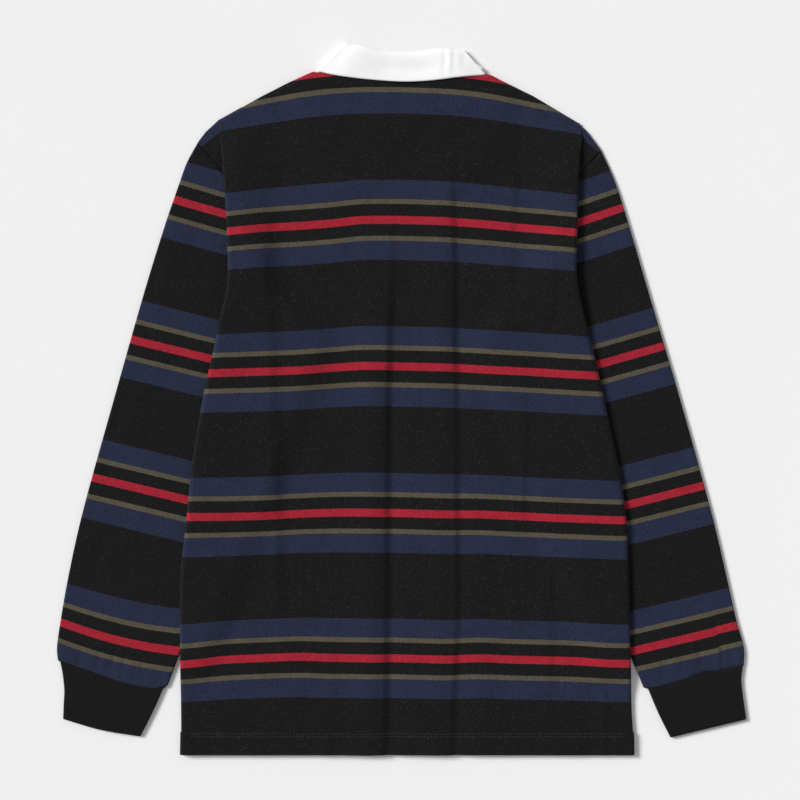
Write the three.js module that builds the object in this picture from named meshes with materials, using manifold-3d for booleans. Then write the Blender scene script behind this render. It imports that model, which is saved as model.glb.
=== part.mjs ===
// A striped rugby shirt laid face down, its back upwards and both sleeves tucked under its sides.
// Millimetres. While it is drawn, x runs from the centre line to the right, y from the hem up to
// the collar and z up from the surface it lies on. The finished group is centred over that surface.
import * as THREE from "three";
import { mergeVertices } from "three/addons/utils/BufferGeometryUtils.js";
import Module from "manifold-3d";

const wasm = await Module();
wasm.setup();

// Driving sizes
const CLOTH = 1.3; // wall of the heavy jersey
const HEM_WALL = 2.2; // wall where the hem is turned up
const HEM_DEPTH = 21;
const VENT_DEPTH = 42;
const RIB_WALL = 2.0; // doubled rib of a cuff
const CUFF_HEIGHT = 4.6; // laid flat
const SLEEVE_HEIGHT = 4.2; // laid flat
const SLEEVE_HEIGHT_AT_ARMHOLE = 3.2;
const LEAF_WALL = 1.8;
const STAND_WALL = 1.5;
const SEAM_GAP = 0.3; // between two pieces that are sewn together or touch
const AIR = 0.8; // least air between the front and the back
const LOFT = 2.4; // how far the back stands up between its folds
const BACK_NECK_Y = 729; // height of the back neck seam above the hem
const SIDE_LENGTH = 682; // of the body's rows, from the hem to the shoulder
const TIP_AIR = 0.6; // between the two layers beyond the shoulder folds
const THROUGH = [-5, 20]; // heights of a cutter that goes through the front
const PLACKET = { half: 16, bottom: 455, top: 659.2, wall: 1.2 };
const UNDER_PLACKET = { half: 19, bottom: 448, top: 655, base: 3.7, wall: 1.2 };
const BUTTON = { radius: 6.2, thick: 1.8, base: 1.6, rows: [490, 552, 614] };

// Side edges of the body as it lies, from the hem to the shoulder
const BODY_EDGE = [
  { y: 0, left: -237.8, right: 249.1 },
  { y: 22, left: -237.3, right: 248.5 },
  { y: 45, left: -237.5, right: 246.9 },
  { y: 125, left: -238.3, right: 244.8 },
  { y: 200, left: -237.6, right: 243.2 },
  { y: 252, left: -231.3, right: 241.0 },
  { y: 306, left: -226.5, right: 233.5 },
  { y: 350, left: -219.8, right: 223.6 },
  { y: 392, left: -212.0, right: 214.7 },
  { y: 435, left: -202.3, right: 205.0 },
  { y: 467, left: -196.0, right: 196.2 },
  { y: 494, left: -188.4, right: 190.0 },
  { y: 520, left: -186.2, right: 186.4 },
  { y: 560, left: -187.4, right: 187.8 },
  { y: 600, left: -190.0, right: 188.6 },
  { y: 640, left: -192.6, right: 190.6 },
  { y: 665, left: -195.8, right: 194.4 },
  { y: 682, left: -197.0, right: 190.0 },
];

// Shoulder line and back neck, from the left shoulder tip to the right one
const SHOULDER_LINE = [
  { x: -219.5, y: 657.4 },
  { x: -210.9, y: 669.3 },
  { x: -197, y: 682.2 },
  { x: -150.6, y: 708 },
  { x: -124.8, y: 720.9 },
  { x: -97, y: 733.2 },
  { x: -88, y: 732.2 },
  { x: 0, y: BACK_NECK_Y },
  { x: 88, y: 731.2 },
  { x: 97, y: 731.4 },
  { x: 139.9, y: 708 },
  { x: 190, y: 678.2 },
  { x: 199.1, y: 669.3 },
  { x: 214.1, y: 648.4 },
];

// How high the back's edge stands above its own run, and how far it turns back underneath
const EDGE_FOLD = [
  { y: 0, lift: 0, turn: 0, depth: 0.4, rest: 0 },
  { y: 452, lift: 0.4, turn: 0, depth: 0.4, rest: 6.9 },
  { y: 478, lift: 1.4, turn: 1, depth: 5, rest: 6.9 },
  { y: 535, lift: 3.6, turn: 1, depth: 8.4, rest: 6.6 },
  { y: 565, lift: 4.4, turn: 1, depth: 8.4, rest: 5.3 },
  { y: 610, lift: 4.6, turn: 1, depth: 8, rest: 5.2 },
  { y: 640, lift: 3.6, turn: 1, depth: 6, rest: 4.4 },
  { y: 660, lift: 1.8, turn: 1, depth: 3, rest: 3.1 },
  { y: 671, lift: 0.5, turn: 0, depth: 0.4, rest: 2.9 },
  { y: 690, lift: 0, turn: 0, depth: 0.4, rest: 2.9 },
];

// How far the front's side edge lies inside the body's edge, so that it meets the armhole
const FRONT_INSET = [
  { y: 0, inset: 0 },
  { y: 452, inset: 0 },
  { y: 476, inset: 13 },
  { y: 545, inset: 14.5 },
  { y: 575, inset: 8.5 },
  { y: 605, inset: 3.5 },
  { y: 640, inset: 1 },
  { y: 690, inset: 0.6 },
];

// Soft lengthwise folds of the back: x at the hem and at the shoulders, the stretch, size
const BACK_FOLDS = [
  { low: -140, high: -152, from: 115, to: 590, depth: 1.1, half: 19 },
  { low: -24, high: -12, from: -60, to: 590, depth: 2.4, half: 13 },
  { low: 40, high: 55, from: -60, to: 560, depth: 1.8, half: 14 },
  { low: 146, high: 150, from: 30, to: 520, depth: 1.0, half: 26 },
  { low: 208, high: 214, from: -60, to: 95, depth: 1.1, half: 11 },
];

// Plan outlines of each sleeve and cuff
const SLEEVES = {
  left: {
    side: -1,
    outer: [
      { x: -219.7, y: 657.2 }, { x: -231.3, y: 635.9 }, { x: -241, y: 609 },
      { x: -252.9, y: 574.6 }, { x: -274.4, y: 505.7 }, { x: -309.9, y: 380.9 },
      { x: -345.4, y: 251.8 }, { x: -359.4, y: 187.2 }, { x: -366.9, y: 144.2 },
      { x: -370.9, y: 114 }, { x: -367.3, y: 97 },
    ],
    inner: [{ x: -112, y: 437 }, { x: -180.5, y: 262 }, { x: -251.8, y: 74.2 }],
    armhole: [
      { x: -219.7, y: 657.2 }, { x: -206.8, y: 642.2 }, { x: -194, y: 627.4 },
      { x: -190, y: 619.3 }, { x: -187.2, y: 603 }, { x: -181.5, y: 575 },
      { x: -176, y: 530 }, { x: -152, y: 484 }, { x: -112, y: 437 },
    ],
    wrist: [{ x: -367.3, y: 97 }, { x: -251.8, y: 74.2 }],
    cuffOuter: [
      { x: -366.5, y: 96.5 }, { x: -363.6, y: 69 }, { x: -363.7, y: 53 }, { x: -364.2, y: 38.4 },
    ],
    cuffInner: [{ x: -255.4, y: 74.5 }, { x: -266.4, y: 47.3 }, { x: -281, y: 19.6 }],
    cuffTop: [{ x: -366.5, y: 96.5 }, { x: -255.4, y: 74.5 }],
    cuffEnd: [{ x: -364.2, y: 38.4 }, { x: -324, y: 26.8 }, { x: -281, y: 19.6 }],
  },
  right: {
    side: 1,
    outer: [
      { x: 214.4, y: 648.2 }, { x: 222.7, y: 630.5 }, { x: 231.3, y: 609 },
      { x: 242.1, y: 574.6 }, { x: 263.6, y: 501.4 }, { x: 299.1, y: 380.9 },
      { x: 334.6, y: 251.8 }, { x: 349.7, y: 187.2 }, { x: 359.4, y: 144.2 },
      { x: 367.8, y: 112 }, { x: 367.4, y: 96.6 },
    ],
    inner: [{ x: 112, y: 437 }, { x: 182, y: 262 }, { x: 259.6, y: 71.8 }],
    armhole: [
      { x: 214.4, y: 648.2 }, { x: 205.5, y: 638.6 }, { x: 196.6, y: 629 },
      { x: 188.8, y: 620.6 }, { x: 185.9, y: 603 }, { x: 181, y: 575 },
      { x: 176, y: 530 }, { x: 152, y: 484 }, { x: 112, y: 437 },
    ],
    wrist: [{ x: 367.4, y: 96.6 }, { x: 259.6, y: 71.8 }],
    cuffOuter: [
      { x: 366.4, y: 96 }, { x: 364.8, y: 79.6 }, { x: 366.4, y: 63.5 }, { x: 370, y: 38 },
    ],
    cuffInner: [{ x: 263.6, y: 72.4 }, { x: 275.6, y: 44 }, { x: 288.4, y: 18.4 }],
    cuffTop: [{ x: 366.4, y: 96 }, { x: 263.6, y: 72.4 }],
    cuffEnd: [{ x: 370, y: 38 }, { x: 328, y: 28 }, { x: 288.4, y: 18.4 }],
  },
};

// Shoulder piece of the body beyond its side fold, as far as the armhole seam
const SHOULDER_TIPS = {
  left: [
    { x: -172, y: 695.8 }, { x: -197, y: 681.8 }, { x: -210.9, y: 669 }, { x: -219.5, y: 657.8 },
    { x: -193.7, y: 628.1 }, { x: -189.5, y: 620 }, { x: -184, y: 612 }, { x: -172, y: 612 },
  ],
  right: [
    { x: 170, y: 612 }, { x: 182, y: 612 }, { x: 188.2, y: 621.2 }, { x: 196.4, y: 629.6 },
    { x: 214, y: 648.7 }, { x: 199.1, y: 669 }, { x: 190, y: 677.8 }, { x: 170, y: 689.6 },
  ],
};

// Plan lines of the collar: its top fold, the leaf's free edge and the neck seam
const COLLAR = {
  leafLow: 0.9, // middle of the leaf's wall at the front, on the surface
  leafHigh: 7.5, // and at the back of the neck
  standLow: 2.85,
  standHigh: 5.4,
  sag: 1.6,
  sagHalf: 55,
  backFold: [
    { x: -61, y: 760.8 }, { x: -34.4, y: 756.8 }, { x: 0, y: 754.9 },
    { x: 30.1, y: 756.3 }, { x: 50, y: 758.4 }, { x: 62.6, y: 756 },
  ],
  backEdge: [
    { x: -91.4, y: 732.5 }, { x: -72, y: 729.5 }, { x: -45.2, y: 725.8 }, { x: 0, y: 722.5 },
    { x: 30.1, y: 723.6 }, { x: 62.4, y: 727.4 }, { x: 91.4, y: 731.8 },
  ],
  backSeam: [
    { x: -87.6, y: 736.4 }, { x: -70, y: 732.6 }, { x: 0, y: 729.6 },
    { x: 70, y: 731.9 }, { x: 87.6, y: 735.4 },
  ],
  frontFold: [{ x: -58, y: 735 }, { x: -45, y: 710 }, { x: -22, y: 693 }, { x: -3, y: 688 }],
  frontEdge: [{ x: -97, y: 705 }, { x: -88, y: 665 }, { x: -50, y: 628 }],
  frontSeam: [{ x: -84, y: 712 }, { x: -68, y: 686 }, { x: -38, y: 666 }, { x: -3, y: 660 }],
};

// How far from an outline the cloth over it still lies at full height, and where it is down again
const FALL = {
  sleeve: { full: 13, none: 46 },
  wing: { full: 11, none: 40 },
  placket: { full: 20, none: 60 },
};

// How many sections and points make up the pieces
const SHOULDER_COLUMNS = 8;
const NECK_COLUMNS = 13;
const BODY_ROWS = 25;
const ARC_STEPS = 4;
const SLEEVE_ROWS = 16;
const TUBE_COLUMNS = 9;
const CUFF_ROWS = 3;

const clamp = THREE.MathUtils.clamp;
const lerp = THREE.MathUtils.lerp;

// Value of one column of a table at a place along another column, straight between its rows
function columnAt(table, along, column, at) {
  const last = table.length - 1;
  let i = 0;
  while (i < last - 1 && table[i + 1][along] < at) i += 1;
  const span = table[i + 1][along] - table[i][along];
  const share = clamp((at - table[i][along]) / span, 0, 1);
  return lerp(table[i][column], table[i + 1][column], share);
}

// Smooth plan curve through the rows of a table
function planCurve(rows) {
  const points = rows.map(({ x, y }) => new THREE.Vector3(x, y, 0));
  if (points.length === 2) return new THREE.LineCurve3(points[0], points[1]);
  return new THREE.CatmullRomCurve3(points, false, "centripetal");
}

// Distance from a plan point to an outline, negative inside it
function distanceTo(outline, x, y) {
  let nearest = Infinity;
  let inside = false;
  outline.forEach((a, i) => {
    const b = outline[(i + 1) % outline.length];
    const dx = b.x - a.x;
    const dy = b.y - a.y;
    const t = clamp(((x - a.x) * dx + (y - a.y) * dy) / (dx * dx + dy * dy), 0, 1);
    nearest = Math.min(nearest, Math.hypot(x - a.x - t * dx, y - a.y - t * dy));
    if (a.y > y !== b.y > y && x < a.x + ((y - a.y) / dy) * dx) inside = !inside;
  });
  return inside ? -nearest : nearest;
}

// 1 over an outline and close round it, falling softly to 0 further out
function ramp(outline, x, y, { full, none }) {
  return 1 - THREE.MathUtils.smoothstep(distanceTo(outline, x, y), full, none);
}

// Closed mesh between an outer and an inner grid of points, whose columns may close on themselves
function wallBetween(outer, inner, closed = false) {
  const rows = outer.length;
  const columns = outer[0].length;
  const count = rows * columns;
  const position = [...outer.flat(), ...inner.flat()].flatMap((p) => [p.x, p.y, p.z]);
  const outside = (i, j) => i * columns + (j % columns);
  const inside = (i, j) => count + outside(i, j);
  const index = [];
  const quad = (a, b, c, d) => index.push(a, b, c, a, c, d);
  const across = closed ? columns : columns - 1;
  for (let i = 0; i < rows - 1; i += 1) {
    for (let j = 0; j < across; j += 1) {
      quad(outside(i, j), outside(i, j + 1), outside(i + 1, j + 1), outside(i + 1, j));
      quad(inside(i, j), inside(i + 1, j), inside(i + 1, j + 1), inside(i, j + 1));
    }
    if (closed) continue;
    quad(outside(i, 0), outside(i + 1, 0), inside(i + 1, 0), inside(i, 0));
    const j = columns - 1;
    quad(outside(i, j), inside(i, j), inside(i + 1, j), outside(i + 1, j));
  }
  for (let j = 0; j < across; j += 1) {
    const i = rows - 1;
    quad(outside(0, j), inside(0, j), inside(0, j + 1), outside(0, j + 1));
    quad(outside(i, j), outside(i, j + 1), inside(i, j + 1), inside(i, j));
  }
  return facingOut(position, index);
}

// Geometry from points and triangles, turned round if its faces point inwards
function facingOut(position, index) {
  const at = (i) => new THREE.Vector3().fromArray(position, 3 * i);
  let volume = 0;
  for (let i = 0; i < index.length; i += 3) {
    volume += at(index[i]).dot(at(index[i + 1]).cross(at(index[i + 2])));
  }
  const geometry = new THREE.BufferGeometry();
  geometry.setAttribute("position", new THREE.Float32BufferAttribute(position, 3));
  geometry.setIndex(volume < 0 ? index.reverse() : index);
  return geometry;
}

// Flat slab with a plan outline, from one height to another
function slab(outline, low, high) {
  const shape = new THREE.Shape(outline.map(({ x, y }) => new THREE.Vector2(x, y)));
  const geometry = new THREE.ExtrudeGeometry(shape, { depth: high - low, bevelEnabled: false });
  return geometry.translate(0, 0, low);
}

function rectangle(half, bottom, top) {
  return [
    { x: -half, y: bottom }, { x: half, y: bottom }, { x: half, y: top }, { x: -half, y: top },
  ];
}

function solidOf(geometry) {
  const bare = geometry.clone();
  bare.deleteAttribute("normal");
  bare.deleteAttribute("uv");
  const merged = mergeVertices(bare, 1e-4);
  return new wasm.Manifold(
    new wasm.Mesh({
      numProp: 3,
      vertProperties: merged.attributes.position.array,
      triVerts: new Uint32Array(merged.index.array),
    }),
  );
}

function geometryOf(solid) {
  const mesh = solid.getMesh();
  const geometry = new THREE.BufferGeometry();
  geometry.setAttribute("position", new THREE.BufferAttribute(mesh.vertProperties, 3));
  geometry.setIndex(new THREE.BufferAttribute(mesh.triVerts, 1));
  return geometry;
}

// Part of a sleeve that lies under the body
function tuckedOutline({ side, armhole, inner }) {
  const hidden = armhole.slice(-3);
  const [, elbow, low] = inner;
  return [
    ...hidden, elbow,
    { x: side * 236, y: 112 }, { x: side * 320, y: low.y }, { x: side * 320, y: hidden[0].y },
  ];
}

// Outline of one front wing of the collar
function wingOutline(side) {
  const { frontFold, frontEdge, backFold, backEdge } = COLLAR;
  const half = [backFold[0], ...frontFold, ...[...frontEdge].reverse(), backEdge[0]];
  return half.map(({ x, y }) => ({ x: -side * x, y }));
}

const TUCKED = [tuckedOutline(SLEEVES.left), tuckedOutline(SLEEVES.right)];
const WINGS = [wingOutline(-1), wingOutline(1)];
const UNDER_OUTLINE = rectangle(UNDER_PLACKET.half, UNDER_PLACKET.bottom, UNDER_PLACKET.top);

// Underside of the front: flat on the surface, over the collar's wings and the tucked sleeves
function frontBase(x, y) {
  const sleeve = Math.max(...TUCKED.map((outline) => ramp(outline, x, y, FALL.sleeve)));
  const wing = Math.max(...WINGS.map((outline) => ramp(outline, x, y, FALL.wing)));
  return Math.max((SLEEVE_HEIGHT + SEAM_GAP) * sleeve, (LEAF_WALL + SEAM_GAP) * wing);
}

const wallAt = (y) => (y < HEM_DEPTH ? HEM_WALL : CLOTH);

// Sum of the soft folds of the back at a place, as a depth
function foldDepth(x, y) {
  return BACK_FOLDS.reduce((sum, fold) => {
    const middle = lerp(fold.low, fold.high, clamp(y / 700, 0, 1));
    const along = THREE.MathUtils.smoothstep(y, fold.from, fold.from + 90);
    const fade = along * (1 - THREE.MathUtils.smoothstep(y, fold.to - 130, fold.to));
    return sum + fold.depth * fade * Math.exp(-(((x - middle) / fold.half) ** 2));
  }, 0);
}

// Underside of the back: air over the front, lofted between the folds, clear of the placket
function backBase(x, y) {
  const front = frontBase(x, y) + wallAt(y);
  const neck = 1 - THREE.MathUtils.smoothstep(y, 600, 690);
  const loft = Math.max(0, LOFT * neck - foldDepth(x, y));
  const placketTop = UNDER_PLACKET.base + UNDER_PLACKET.wall + SEAM_GAP;
  const overPlacket = placketTop * ramp(UNDER_OUTLINE, x, y, FALL.placket);
  return Math.max(front + AIR + loft, overPlacket);
}

// Places of the body's columns along the shoulder line
function columnPlaces() {
  const places = [];
  for (let i = 0; i < SHOULDER_COLUMNS; i += 1) places.push(lerp(-197, -97, i / SHOULDER_COLUMNS));
  for (let i = 0; i < NECK_COLUMNS; i += 1) places.push(lerp(-97, 97, i / NECK_COLUMNS));
  for (let i = 0; i <= SHOULDER_COLUMNS; i += 1) places.push(lerp(97, 190, i / SHOULDER_COLUMNS));
  return places;
}

// Heights of the body's rows as shares of the length, with one pair at the hem's step
function rowShares() {
  const heights = [0, HEM_DEPTH - 0.5, HEM_DEPTH + 0.5, VENT_DEPTH];
  for (let i = 1; i <= BODY_ROWS; i += 1) {
    heights.push(lerp(VENT_DEPTH, SIDE_LENGTH, i / BODY_ROWS));
  }
  return heights.map((height) => height / SIDE_LENGTH);
}

// Plan of one row of the body: its two edges and the columns between them, held in from each edge
function bodyRow(share, insetAt) {
  const places = columnPlaces();
  const first = places[0];
  const last = places[places.length - 1];
  const top = (place) => columnAt(SHOULDER_LINE, "x", "y", place);
  const leftY = share * top(first);
  const rightY = share * top(last);
  const left = columnAt(BODY_EDGE, "y", "left", leftY) + insetAt(-1, leftY);
  const right = columnAt(BODY_EDGE, "y", "right", rightY) - insetAt(1, rightY);
  return places.map((place) => ({
    x: lerp(left, right, (place - first) / (last - first)),
    y: share * top(place),
  }));
}

function frontPanel() {
  const insetAt = (side, y) => columnAt(FRONT_INSET, "y", "inset", y);
  const rows = rowShares().map((share) => bodyRow(share, insetAt));
  const lower = rows.map((row) => row.map(({ x, y }) => new THREE.Vector3(x, y, frontBase(x, y))));
  const upper = lower.map((row) => row.map((p) => p.clone().setZ(p.z + wallAt(p.y))));
  let solid = solidOf(wallBetween(upper, lower));
  for (const outline of Object.values(SHOULDER_TIPS)) {
    solid = solid.add(solidOf(slab(outline, 0, CLOTH)));
  }
  const neck = neckOutline(0.4);
  solid = solid.subtract(solidOf(slab(neck, ...THROUGH)));
  const slot = rectangle(PLACKET.half + SEAM_GAP, PLACKET.bottom - SEAM_GAP, PLACKET.top + 40);
  return geometryOf(solid.subtract(solidOf(slab(slot, ...THROUGH))));
}

// Outline of the front neck opening, wider than the stand's seam edge by a margin
function neckOutline(margin) {
  const curve = planCurve([{ x: -87.6, y: 736.4 }, ...COLLAR.frontSeam]);
  const half = curve.getSpacedPoints(12).map(({ x, y }) => ({ x: x - margin, y: y - margin }));
  const other = half.map(({ x, y }) => ({ x: -x, y })).reverse();
  return [{ x: -87.6 - margin, y: 790 }, ...half, ...other, { x: 87.6 + margin, y: 790 }];
}

// Section of one row of the back, with each side edge rolled down or folded back underneath
function backSection(share) {
  const edges = [-1, 1].map((side) => {
    const { x, y } = bodyRow(share, () => 0).at(side < 0 ? 0 : -1);
    const at = (column) => columnAt(EDGE_FOLD, "y", column, y);
    const rest = at("turn") * at("rest") + (1 - at("turn")) * (frontBase(x, y) + wallAt(y));
    const middle = backBase(x, y) + CLOTH / 2 + at("lift");
    const angle = (Math.PI / 2) * (1 + at("turn"));
    const drop = middle - rest - (1 - at("turn")) * (SEAM_GAP + at("depth"));
    const radius = drop / (1 - Math.cos(angle));
    return { side, x: x - (side * CLOTH) / 2, y, middle, angle, radius, depth: at("depth") };
  });
  const row = bodyRow(share, () => CLOTH / 2);
  const width = row.at(-1).x - row[0].x;
  const [left, right] = edges;
  const run = row.map(({ x, y }) => {
    const u = (x - row[0].x) / width;
    const fromEdge = Math.min(x - row[0].x, row.at(-1).x - x);
    const nearer = u < 0.5 ? left : right;
    const lift = columnAt(EDGE_FOLD, "y", "lift", nearer.y);
    const rise = lift * (1 - THREE.MathUtils.smoothstep(fromEdge, 4, 62));
    const inset = x + left.radius * (1 - u) - right.radius * u;
    const point = new THREE.Vector3(inset, y, backBase(x, y) + CLOTH / 2 + rise);
    return { point, normal: new THREE.Vector3(0, 0, 1) };
  });
  return [...edgeTurn(left).reverse(), ...run, ...edgeTurn(right)];
}

// Points round one rolled edge, after its top, and along what is turned back under it
function edgeTurn({ side, x, y, middle, angle, radius, depth }) {
  const points = [];
  for (let i = 1; i <= ARC_STEPS + 2; i += 1) {
    const turned = (angle * Math.min(i, ARC_STEPS)) / ARC_STEPS;
    const beyond = (depth / 2) * Math.max(0, i - ARC_STEPS);
    const along = x - side * radius * (1 - Math.sin(turned)) + side * beyond * Math.cos(turned);
    const height = middle - radius * (1 - Math.cos(turned)) - beyond * Math.sin(turned);
    const normal = new THREE.Vector3(side * Math.sin(turned), 0, Math.cos(turned));
    points.push({ point: new THREE.Vector3(along, y, height), normal });
  }
  return points;
}

function backPanel() {
  const sections = rowShares().map(backSection);
  const grid = (away) =>
    sections.map((row) =>
      row.map(({ point, normal }) => {
        const distance = away > 0 ? wallAt(point.y) - CLOTH / 2 : -CLOTH / 2;
        return point.clone().addScaledVector(normal, distance);
      }),
    );
  let solid = solidOf(wallBetween(grid(1), grid(-1)));
  for (const outline of Object.values(SHOULDER_TIPS)) {
    solid = solid.add(solidOf(slab(outline, CLOTH + TIP_AIR, 2 * CLOTH + TIP_AIR)));
  }
  return geometryOf(solid);
}

// Plan point inside four boundary curves: across from outer to inner, along from start to end
function patchPoint({ outer, inner, start, end }, across, along) {
  const [o, i] = [outer.getPointAt(along), inner.getPointAt(along)];
  const [s, e] = [start.getPointAt(across), end.getPointAt(across)];
  const [o0, o1, i0, i1] = [outer.getPoint(0), outer.getPoint(1), inner.getPoint(0), inner.getPoint(1)];
  const mix = (key) =>
    lerp(o[key], i[key], across) + lerp(s[key], e[key], along) -
    lerp(lerp(o0[key], o1[key], along), lerp(i0[key], i1[key], along), across);
  return { x: mix("x"), y: mix("y") };
}

// One ring round a flattened tube: over its top from outer to inner edge and back below
function flatRing(curves, along, height, inset) {
  const outer = patchPoint(curves, 0, along);
  const inner = patchPoint(curves, 1, along);
  const width = Math.hypot(inner.x - outer.x, inner.y - outer.y);
  const radius = height / 2 - inset;
  const places = [inset + 0.02 * radius, inset + 0.35 * radius, inset + radius];
  const shares = places.map((place) => place / width);
  for (let i = 1; i < TUBE_COLUMNS; i += 1) {
    shares.push(lerp(shares[2], 1 - places[2] / width, i / TUBE_COLUMNS));
  }
  shares.push(...places.map((place) => 1 - place / width).reverse());
  const half = (up) =>
    shares.map((share) => {
      const fromEdge = Math.min(share, 1 - share) * width - inset;
      const reach = 1 - Math.min(fromEdge / radius, 1);
      const z = height / 2 + up * radius * Math.sqrt(1 - reach * reach);
      const { x, y } = patchPoint(curves, share, along);
      return new THREE.Vector3(x, y, z);
    });
  return [...half(1), ...half(-1).reverse()];
}

// Flattened tube of cloth between four plan curves
function flatTube(curves, rows, wall, heightAt) {
  const ring = (inset) =>
    Array.from({ length: rows + 1 }, (_, i) =>
      flatRing(curves, i / rows, heightAt(i / rows), inset),
    );
  return wallBetween(ring(0), ring(wall), true);
}

function sleeve({ outer, inner, armhole, wrist }) {
  const curves = {
    outer: planCurve(outer), inner: planCurve(inner),
    start: planCurve(armhole), end: planCurve(wrist),
  };
  const heightAt = (along) =>
    lerp(SLEEVE_HEIGHT_AT_ARMHOLE, SLEEVE_HEIGHT, THREE.MathUtils.smoothstep(along, 0, 0.15));
  return flatTube(curves, SLEEVE_ROWS, CLOTH, heightAt);
}

function cuff({ cuffOuter, cuffInner, cuffTop, cuffEnd }) {
  const curves = {
    outer: planCurve(cuffOuter), inner: planCurve(cuffInner),
    start: planCurve(cuffTop), end: planCurve(cuffEnd),
  };
  return flatTube(curves, CUFF_ROWS, RIB_WALL, () => CUFF_HEIGHT);
}

// Band that goes round the neck: one front end, over the side, the back, and down the other side
function neckBand({ foldLine, edgeLine, frontFold, frontEdge, low, high, wall, across }) {
  const radius = (high - low) / 2;
  const sections = [];
  const add = (from, to, z, normal) => {
    const points = [];
    for (let i = 0; i <= across; i += 1) {
      const [x, y] = [lerp(from.x, to.x, i / across), lerp(from.y, to.y, i / across)];
      points.push({ point: new THREE.Vector3(x, y, z), normal });
    }
    sections.push(points);
  };
  const frontRows = (side) => {
    const ends = side < 0 ? [foldLine.getPoint(0), edgeLine.getPoint(0)]
      : [foldLine.getPoint(1), edgeLine.getPoint(1)];
    const turned = (rows) => rows.map(({ x, y }) => ({ x: -side * x, y }));
    const fold = planCurve([ends[0], ...turned(frontFold)]);
    const edge = planCurve([ends[1], ...turned(frontEdge)]);
    const rows = [1, 0.8, 0.6, 0.4, 0.25, 0.12];
    return rows.map((share) => [fold.getPointAt(share), edge.getPointAt(share)]);
  };
  const roll = (side) => {
    const share = side < 0 ? 0 : 1;
    const [fold, edge] = [foldLine.getPoint(share), edgeLine.getPoint(share)];
    const length = Math.hypot(edge.x - fold.x, edge.y - fold.y);
    const out = { x: (side * (fold.y - edge.y)) / length, y: Math.abs(edge.x - fold.x) / length };
    const rows = [];
    for (let i = 0; i <= 6; i += 1) {
      const angle = Math.PI * (1 - i / 6);
      const away = radius * Math.sin(angle);
      const moved = ({ x, y }) => ({ x: x + out.x * away, y: y + out.y * away });
      const normal = new THREE.Vector3(
        out.x * Math.sin(angle), out.y * Math.sin(angle), Math.cos(angle),
      );
      rows.push([moved(fold), moved(edge), low + radius * (1 + Math.cos(angle)), normal]);
    }
    return rows;
  };
  const down = new THREE.Vector3(0, 0, -1);
  const up = new THREE.Vector3(0, 0, 1);
  for (const [fold, edge] of frontRows(-1)) add(fold, edge, low, down);
  for (const row of roll(-1)) add(...row);
  for (let i = 1; i < 14; i += 1) {
    const fold = foldLine.getPointAt(i / 14);
    const edge = edgeLine.getPointAt(i / 14);
    const reach = clamp(1 - (fold.x / COLLAR.sagHalf) ** 2, 0, 1);
    add(fold, edge, high - COLLAR.sag * reach * reach, up);
  }
  for (const row of roll(1).reverse()) add(...row);
  for (const [fold, edge] of frontRows(1).reverse()) add(fold, edge, low, down);
  const grid = (away) =>
    sections.map((row) =>
      row.map(({ point, normal }) => point.clone().addScaledVector(normal, (away * wall) / 2)),
    );
  return wallBetween(grid(1), grid(-1));
}

function collarLeaf() {
  return neckBand({
    foldLine: planCurve(COLLAR.backFold), edgeLine: planCurve(COLLAR.backEdge),
    frontFold: COLLAR.frontFold, frontEdge: COLLAR.frontEdge,
    low: COLLAR.leafLow, high: COLLAR.leafHigh, wall: LEAF_WALL, across: 5,
  });
}

function collarStand() {
  const lowered = COLLAR.backFold.map(({ x, y }) => ({ x: x * 0.975, y: y - 1.5 }));
  const inside = COLLAR.frontFold.map(({ x, y }) => ({ x: x - 1, y: y - 1 }));
  return neckBand({
    foldLine: planCurve(lowered), edgeLine: planCurve(COLLAR.backSeam),
    frontFold: inside, frontEdge: COLLAR.frontSeam,
    low: COLLAR.standLow, high: COLLAR.standHigh, wall: STAND_WALL, across: 3,
  });
}

function button(y) {
  const { radius, thick, base } = BUTTON;
  const profile = [
    new THREE.Vector2(0, 0), new THREE.Vector2(radius - 0.5, 0), new THREE.Vector2(radius, 0.6),
    new THREE.Vector2(radius, thick - 0.5), new THREE.Vector2(radius - 0.6, thick),
    new THREE.Vector2(0, thick),
  ];
  const geometry = new THREE.LatheGeometry(profile, 12);
  return geometry.rotateX(Math.PI / 2).translate(0, y, base);
}

const MATERIALS = {
  black: { color: 0x1b1b1d, roughness: 0.9 },
  rib: { color: 0x19191b, roughness: 0.92 },
  white: { color: 0xf1f1ee, roughness: 0.85 },
  rubber: { color: 0xe9e7e1, roughness: 0.6 },
};

const shirt = new THREE.Group();

function addPiece(name, geometry, look) {
  const material = new THREE.MeshStandardMaterial({ ...MATERIALS[look], metalness: 0 });
  const mesh = new THREE.Mesh(geometry, material);
  mesh.name = name;
  shirt.add(mesh);
}

addPiece("front_panel", frontPanel(), "black");
addPiece("back_panel", backPanel(), "black");
for (const [side, outlines] of Object.entries(SLEEVES)) {
  addPiece(`sleeve_${side}`, sleeve(outlines), "black");
  addPiece(`cuff_${side}`, cuff(outlines), "rib");
}
addPiece("collar_leaf", collarLeaf(), "white");
addPiece("collar_stand", collarStand(), "white");
addPiece(
  "placket_outer",
  slab(rectangle(PLACKET.half, PLACKET.bottom, PLACKET.top), 0, PLACKET.wall),
  "black",
);
addPiece(
  "placket_under",
  slab(UNDER_OUTLINE, UNDER_PLACKET.base, UNDER_PLACKET.base + UNDER_PLACKET.wall),
  "black",
);
BUTTON.rows.forEach((y, i) => addPiece(`button_${i + 1}`, button(y), "rubber"));

const box = new THREE.Box3().setFromObject(shirt);
const middle = box.getCenter(new THREE.Vector3());
shirt.position.set(-middle.x, -middle.y, -box.min.z);

export default shirt;
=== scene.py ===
import math

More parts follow.
